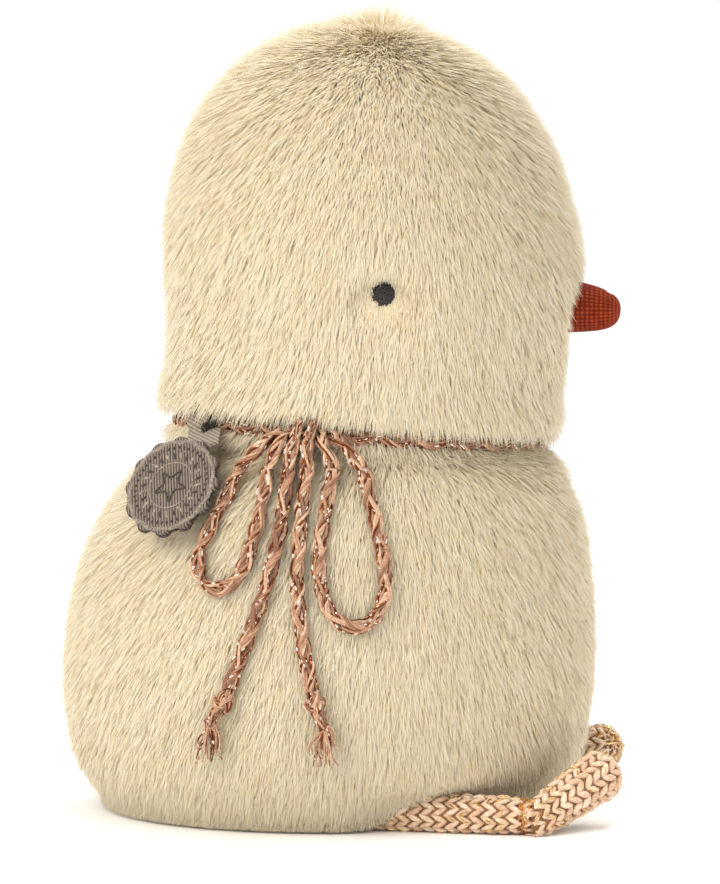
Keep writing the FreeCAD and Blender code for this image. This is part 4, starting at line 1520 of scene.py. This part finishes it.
def tack_threads():
    """The black thread sewn round the ribbon's edge and the neck cord, with its cut ends."""
    middle = middle_of("tag_tack")
    tangent = unit(np.cross(NECK_ALONG, middle - NECK_CENTRE))
    out = unit(np.cross(tangent, NECK_ALONG))
    random = np.random.default_rng(8)
    turn = np.linspace(0, 2 * math.pi, 36)
    lines = []
    for k in range(7):
        shift = random.uniform(-0.0009, 0.0009)
        slant = random.uniform(-0.0006, 0.0006)
        wide = random.uniform(0.00200, 0.00225)
        aside = (shift + slant * np.sin(turn))[:, None] * tangent
        ring = middle + wide * wheel(turn, out, NECK_ALONG) + aside
        lines.append((ring, 0.00022, 0, 0.2))
    t = np.linspace(0, 1, 9)[:, None]
    for k in range(5):
        way = -NECK_ALONG + out * random.uniform(0.1, 0.7) + tangent * random.uniform(-0.9, 0.9)
        start = middle + out * 0.0021 + tangent * random.uniform(-0.0006, 0.0006)
        curl = random.normal(0, 0.0006, 3) * np.sin(math.pi * t)
        lines.append((start + t * way * random.uniform(0.0012, 0.0026) + curl, 0.0002, 0, 0.2))
    made = tubes("tag_tack_threads", lines, ["black_thread"], sides=6)
    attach(made, "tag")
    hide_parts("tag_tack")




class CHICK_OT_label(bpy.types.Operator):
    """Finishes the woven label: its ribs, thread rings and star, its backing, ribbon and tack"""

    bl_idname = "chick.label"
    bl_label = "Woven label"

    def execute(self, context):
        dress("tag_front", "label")
        dress("tag_back", "label_back")
        dress("tag_ribbon", "ribbon")
        tack_threads()
        across = unit(np.cross(LABEL_UP, LABEL_FACE))
        up, face = unit(LABEL_UP), unit(LABEL_FACE)
        surface = LABEL_CENTRE + face * 0.0008
        random = np.random.default_rng(3)

        def on_label(x, y):
            return surface + (across * x + up * y) * MM

        pale, dark = ([], [], [], [], []), ([], [], [], [], [])

        def stitch(kind, x, y, angle, long, wide, high):
            kind[0].append(on_label(x, y))
            kind[1].append(across * math.cos(angle) + up * math.sin(angle))
            kind[2].append(face)
            kind[3].append((wide * MM, high * MM, long * MM))
            kind[4].append(random.random())

        def ring_stitch(kind, reach, turn, *rest):
            stitch(kind, reach * math.cos(turn), reach * math.sin(turn), *rest)

        # A satin edge follows the scallops; inside it run rings of dashes and of short bars.
        for k in range(150):
            turn = 2 * math.pi * k / 150
            edge = 9.0 + 0.9 * 0.42 * abs(math.sin(6 * turn))
            ring_stitch(pale, edge, turn, turn + 0.5, 1.0, 0.2, 0.16)
        for k in range(44):
            turn = 2 * math.pi * (k + 0.5) / 44
            ring_stitch(dark, 7.9, turn, turn, 0.8, 0.3, 0.18)
        for k in range(26):
            turn = 2 * math.pi * k / 26
            ring_stitch(dark if k % 2 else pale, 6.15, turn, turn + 0.35, 1.7, 0.32, 0.24)
        for k in range(60):
            turn = 2 * math.pi * k / 60
            ring_stitch(pale, 4.75, turn, turn + math.pi / 2, 0.6, 0.15, 0.14)
        for k in range(10):
            first = math.pi / 2 + math.pi * k / 5
            second = first + math.pi / 5
            one = np.array((math.cos(first), math.sin(first))) * (3.7 if k % 2 == 0 else 1.5)
            two = np.array((math.cos(second), math.sin(second))) * (1.5 if k % 2 == 0 else 3.7)
            way = math.atan2(*(two - one)[::-1])
            for share in (0.2, 0.5, 0.8):
                x, y = one + (two - one) * share
                stitch(dark, x, y, way, 1.05, 0.28, 0.26)
        bar = knit_leg()
        for name, kind, finish in (
            ("tag_pale_stitches", pale, "label_thread"),
            ("tag_dark_stitches", dark, "label_dark"),
        ):
            made = laid(name, guide(*kind), bar, finish)
            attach(made, "tag")
        removed(bar)
        return {"FINISHED"}


def dress(name, finish):
    """Gives a frame node its finish."""
    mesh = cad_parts[name].data
    mesh.materials.clear()
    mesh.materials.append(finish_of(finish))


class CHICK_OT_fillings(bpy.types.Operator):
    """Finishes the fillings, the pellet pouch and the thread between the eyes"""

    bl_idname = "chick.fillings"
    bl_label = "Fillings"

    def execute(self, context):
        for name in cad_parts:
            if "filling" in name or "stuffing" in name:
                dress(name, "wadding")
        dress("pellet_pouch", "pouch")
        dress("pellet_fill", "pellets")
        dress("eye_thread", "black_thread")
        return {"FINISHED"}


def aimed(made, place, aim):
    """Puts an object at a place, its -Z axis towards an aim."""
    made.location = place
    made.rotation_euler = (Vector(aim) - Vector(place)).to_track_quat("-Z", "Y").to_euler()
    return made


def area_light(name, place, aim, size, power, colour):
    lamp = bpy.data.lights.new(name, "AREA")
    lamp.shape = "DISK"
    lamp.size = size
    lamp.energy = power
    lamp.color = linear(colour)[:3]
    aimed(linked(name, lamp), place, aim)


class CHICK_OT_stage(bpy.types.Operator):
    """Makes the floor, the soft studio light and the camera"""

    bl_idname = "chick.stage"
    bl_label = "Stage"

    def execute(self, context):
        scene = context.scene
        floor, tree, shader = material("pale_paper_floor", "F6F5F2", 0.9)
        painted(tree, shader, noise(tree, 400.0), (0.3, "F9F8F6"), (0.7, "FCFBF9"))
        mesh = bpy.data.meshes.new("floor")
        half = 3.0
        corners = [(-half, -half, 0), (half, -half, 0), (half, half, 0), (-half, half, 0)]
        mesh.from_pydata(corners, [], [(0, 1, 2, 3)])
        mesh.materials.append(floor)
        ground = linked("floor", mesh)
        scene.view_settings.view_transform = "Standard"
        world = bpy.data.worlds.new("studio")
        scene.world = world
        world.use_nodes = True
        sky = world.node_tree.nodes["Background"]
        sky.inputs["Color"].default_value = linear("FFFFFF")
        sky.inputs["Strength"].default_value = 1.08
        aim = (0.0, 0.0, 0.08)
        area_light("key", (-0.55, -0.75, 0.75), aim, 0.8, 8.8, "FFF8EC")
        area_light("fill", (0.8, -0.6, 0.45), aim, 0.9, 0.4, "F6F8FF")
        area_light("top", (0.1, 0.35, 0.9), aim, 0.6, 5.0, "FFFFFF")
        camera = bpy.data.cameras.new("camera")
        camera.lens = 130.7
        camera.sensor_width = 36.0
        camera.sensor_fit = "AUTO"
        place, target = (0.0597, -0.6475, 0.092), (0.003, 0.0, 0.0739)
        scene.camera = aimed(linked("camera", camera), place, target)
        return {"FINISHED"}


class CHICK_PT_panel(bpy.types.Panel):
    """Lists the chick's settings and steps"""

    bl_idname = "CHICK_PT_panel"
    bl_label = "Stuffed chick"
    bl_space_type = "VIEW_3D"
    bl_region_type = "UI"
    bl_category = "Chick"

    def draw(self, context):
        for title, group in zip(("Pile", "Knit", "Beak"), settings()):
            box = self.layout.box()
            box.label(text=title)
            for name in group.__annotations__:
                box.prop(group, name)
        for operator in OPERATORS:
            self.layout.operator(operator.bl_idname)


OPERATORS = (
    CHICK_OT_stage,
    CHICK_OT_cords,
    CHICK_OT_neck_cord,
    CHICK_OT_label,
    CHICK_OT_head,
    CHICK_OT_torso,
    CHICK_OT_feet,
    CHICK_OT_beak,
    CHICK_OT_eyes,
    CHICK_OT_fillings,
)
GROUPS = (("chick_pile", ChickPile), ("chick_knit", ChickKnit), ("chick_beak", ChickBeak))


def register():
    for _, group in GROUPS:
        bpy.utils.register_class(group)
    for operator in OPERATORS:
        bpy.utils.register_class(operator)
    bpy.utils.register_class(CHICK_PT_panel)
    for name, group in GROUPS:
        setattr(bpy.types.Scene, name, bpy.props.PointerProperty(type=group))


def unregister():
    for name, _ in GROUPS:
        delattr(bpy.types.Scene, name)
    bpy.utils.unregister_class(CHICK_PT_panel)
    for operator in reversed(OPERATORS):
        bpy.utils.unregister_class(operator)
    for _, group in reversed(GROUPS):
        bpy.utils.unregister_class(group)


def main():
    register()
    for operator in OPERATORS:
        step = getattr(bpy.ops.chick, operator.bl_idname.split(".")[1])
        if step() != {"FINISHED"}:
            raise RuntimeError(operator.bl_label + " didn't finish")


if __name__ == "__main__":
    main()
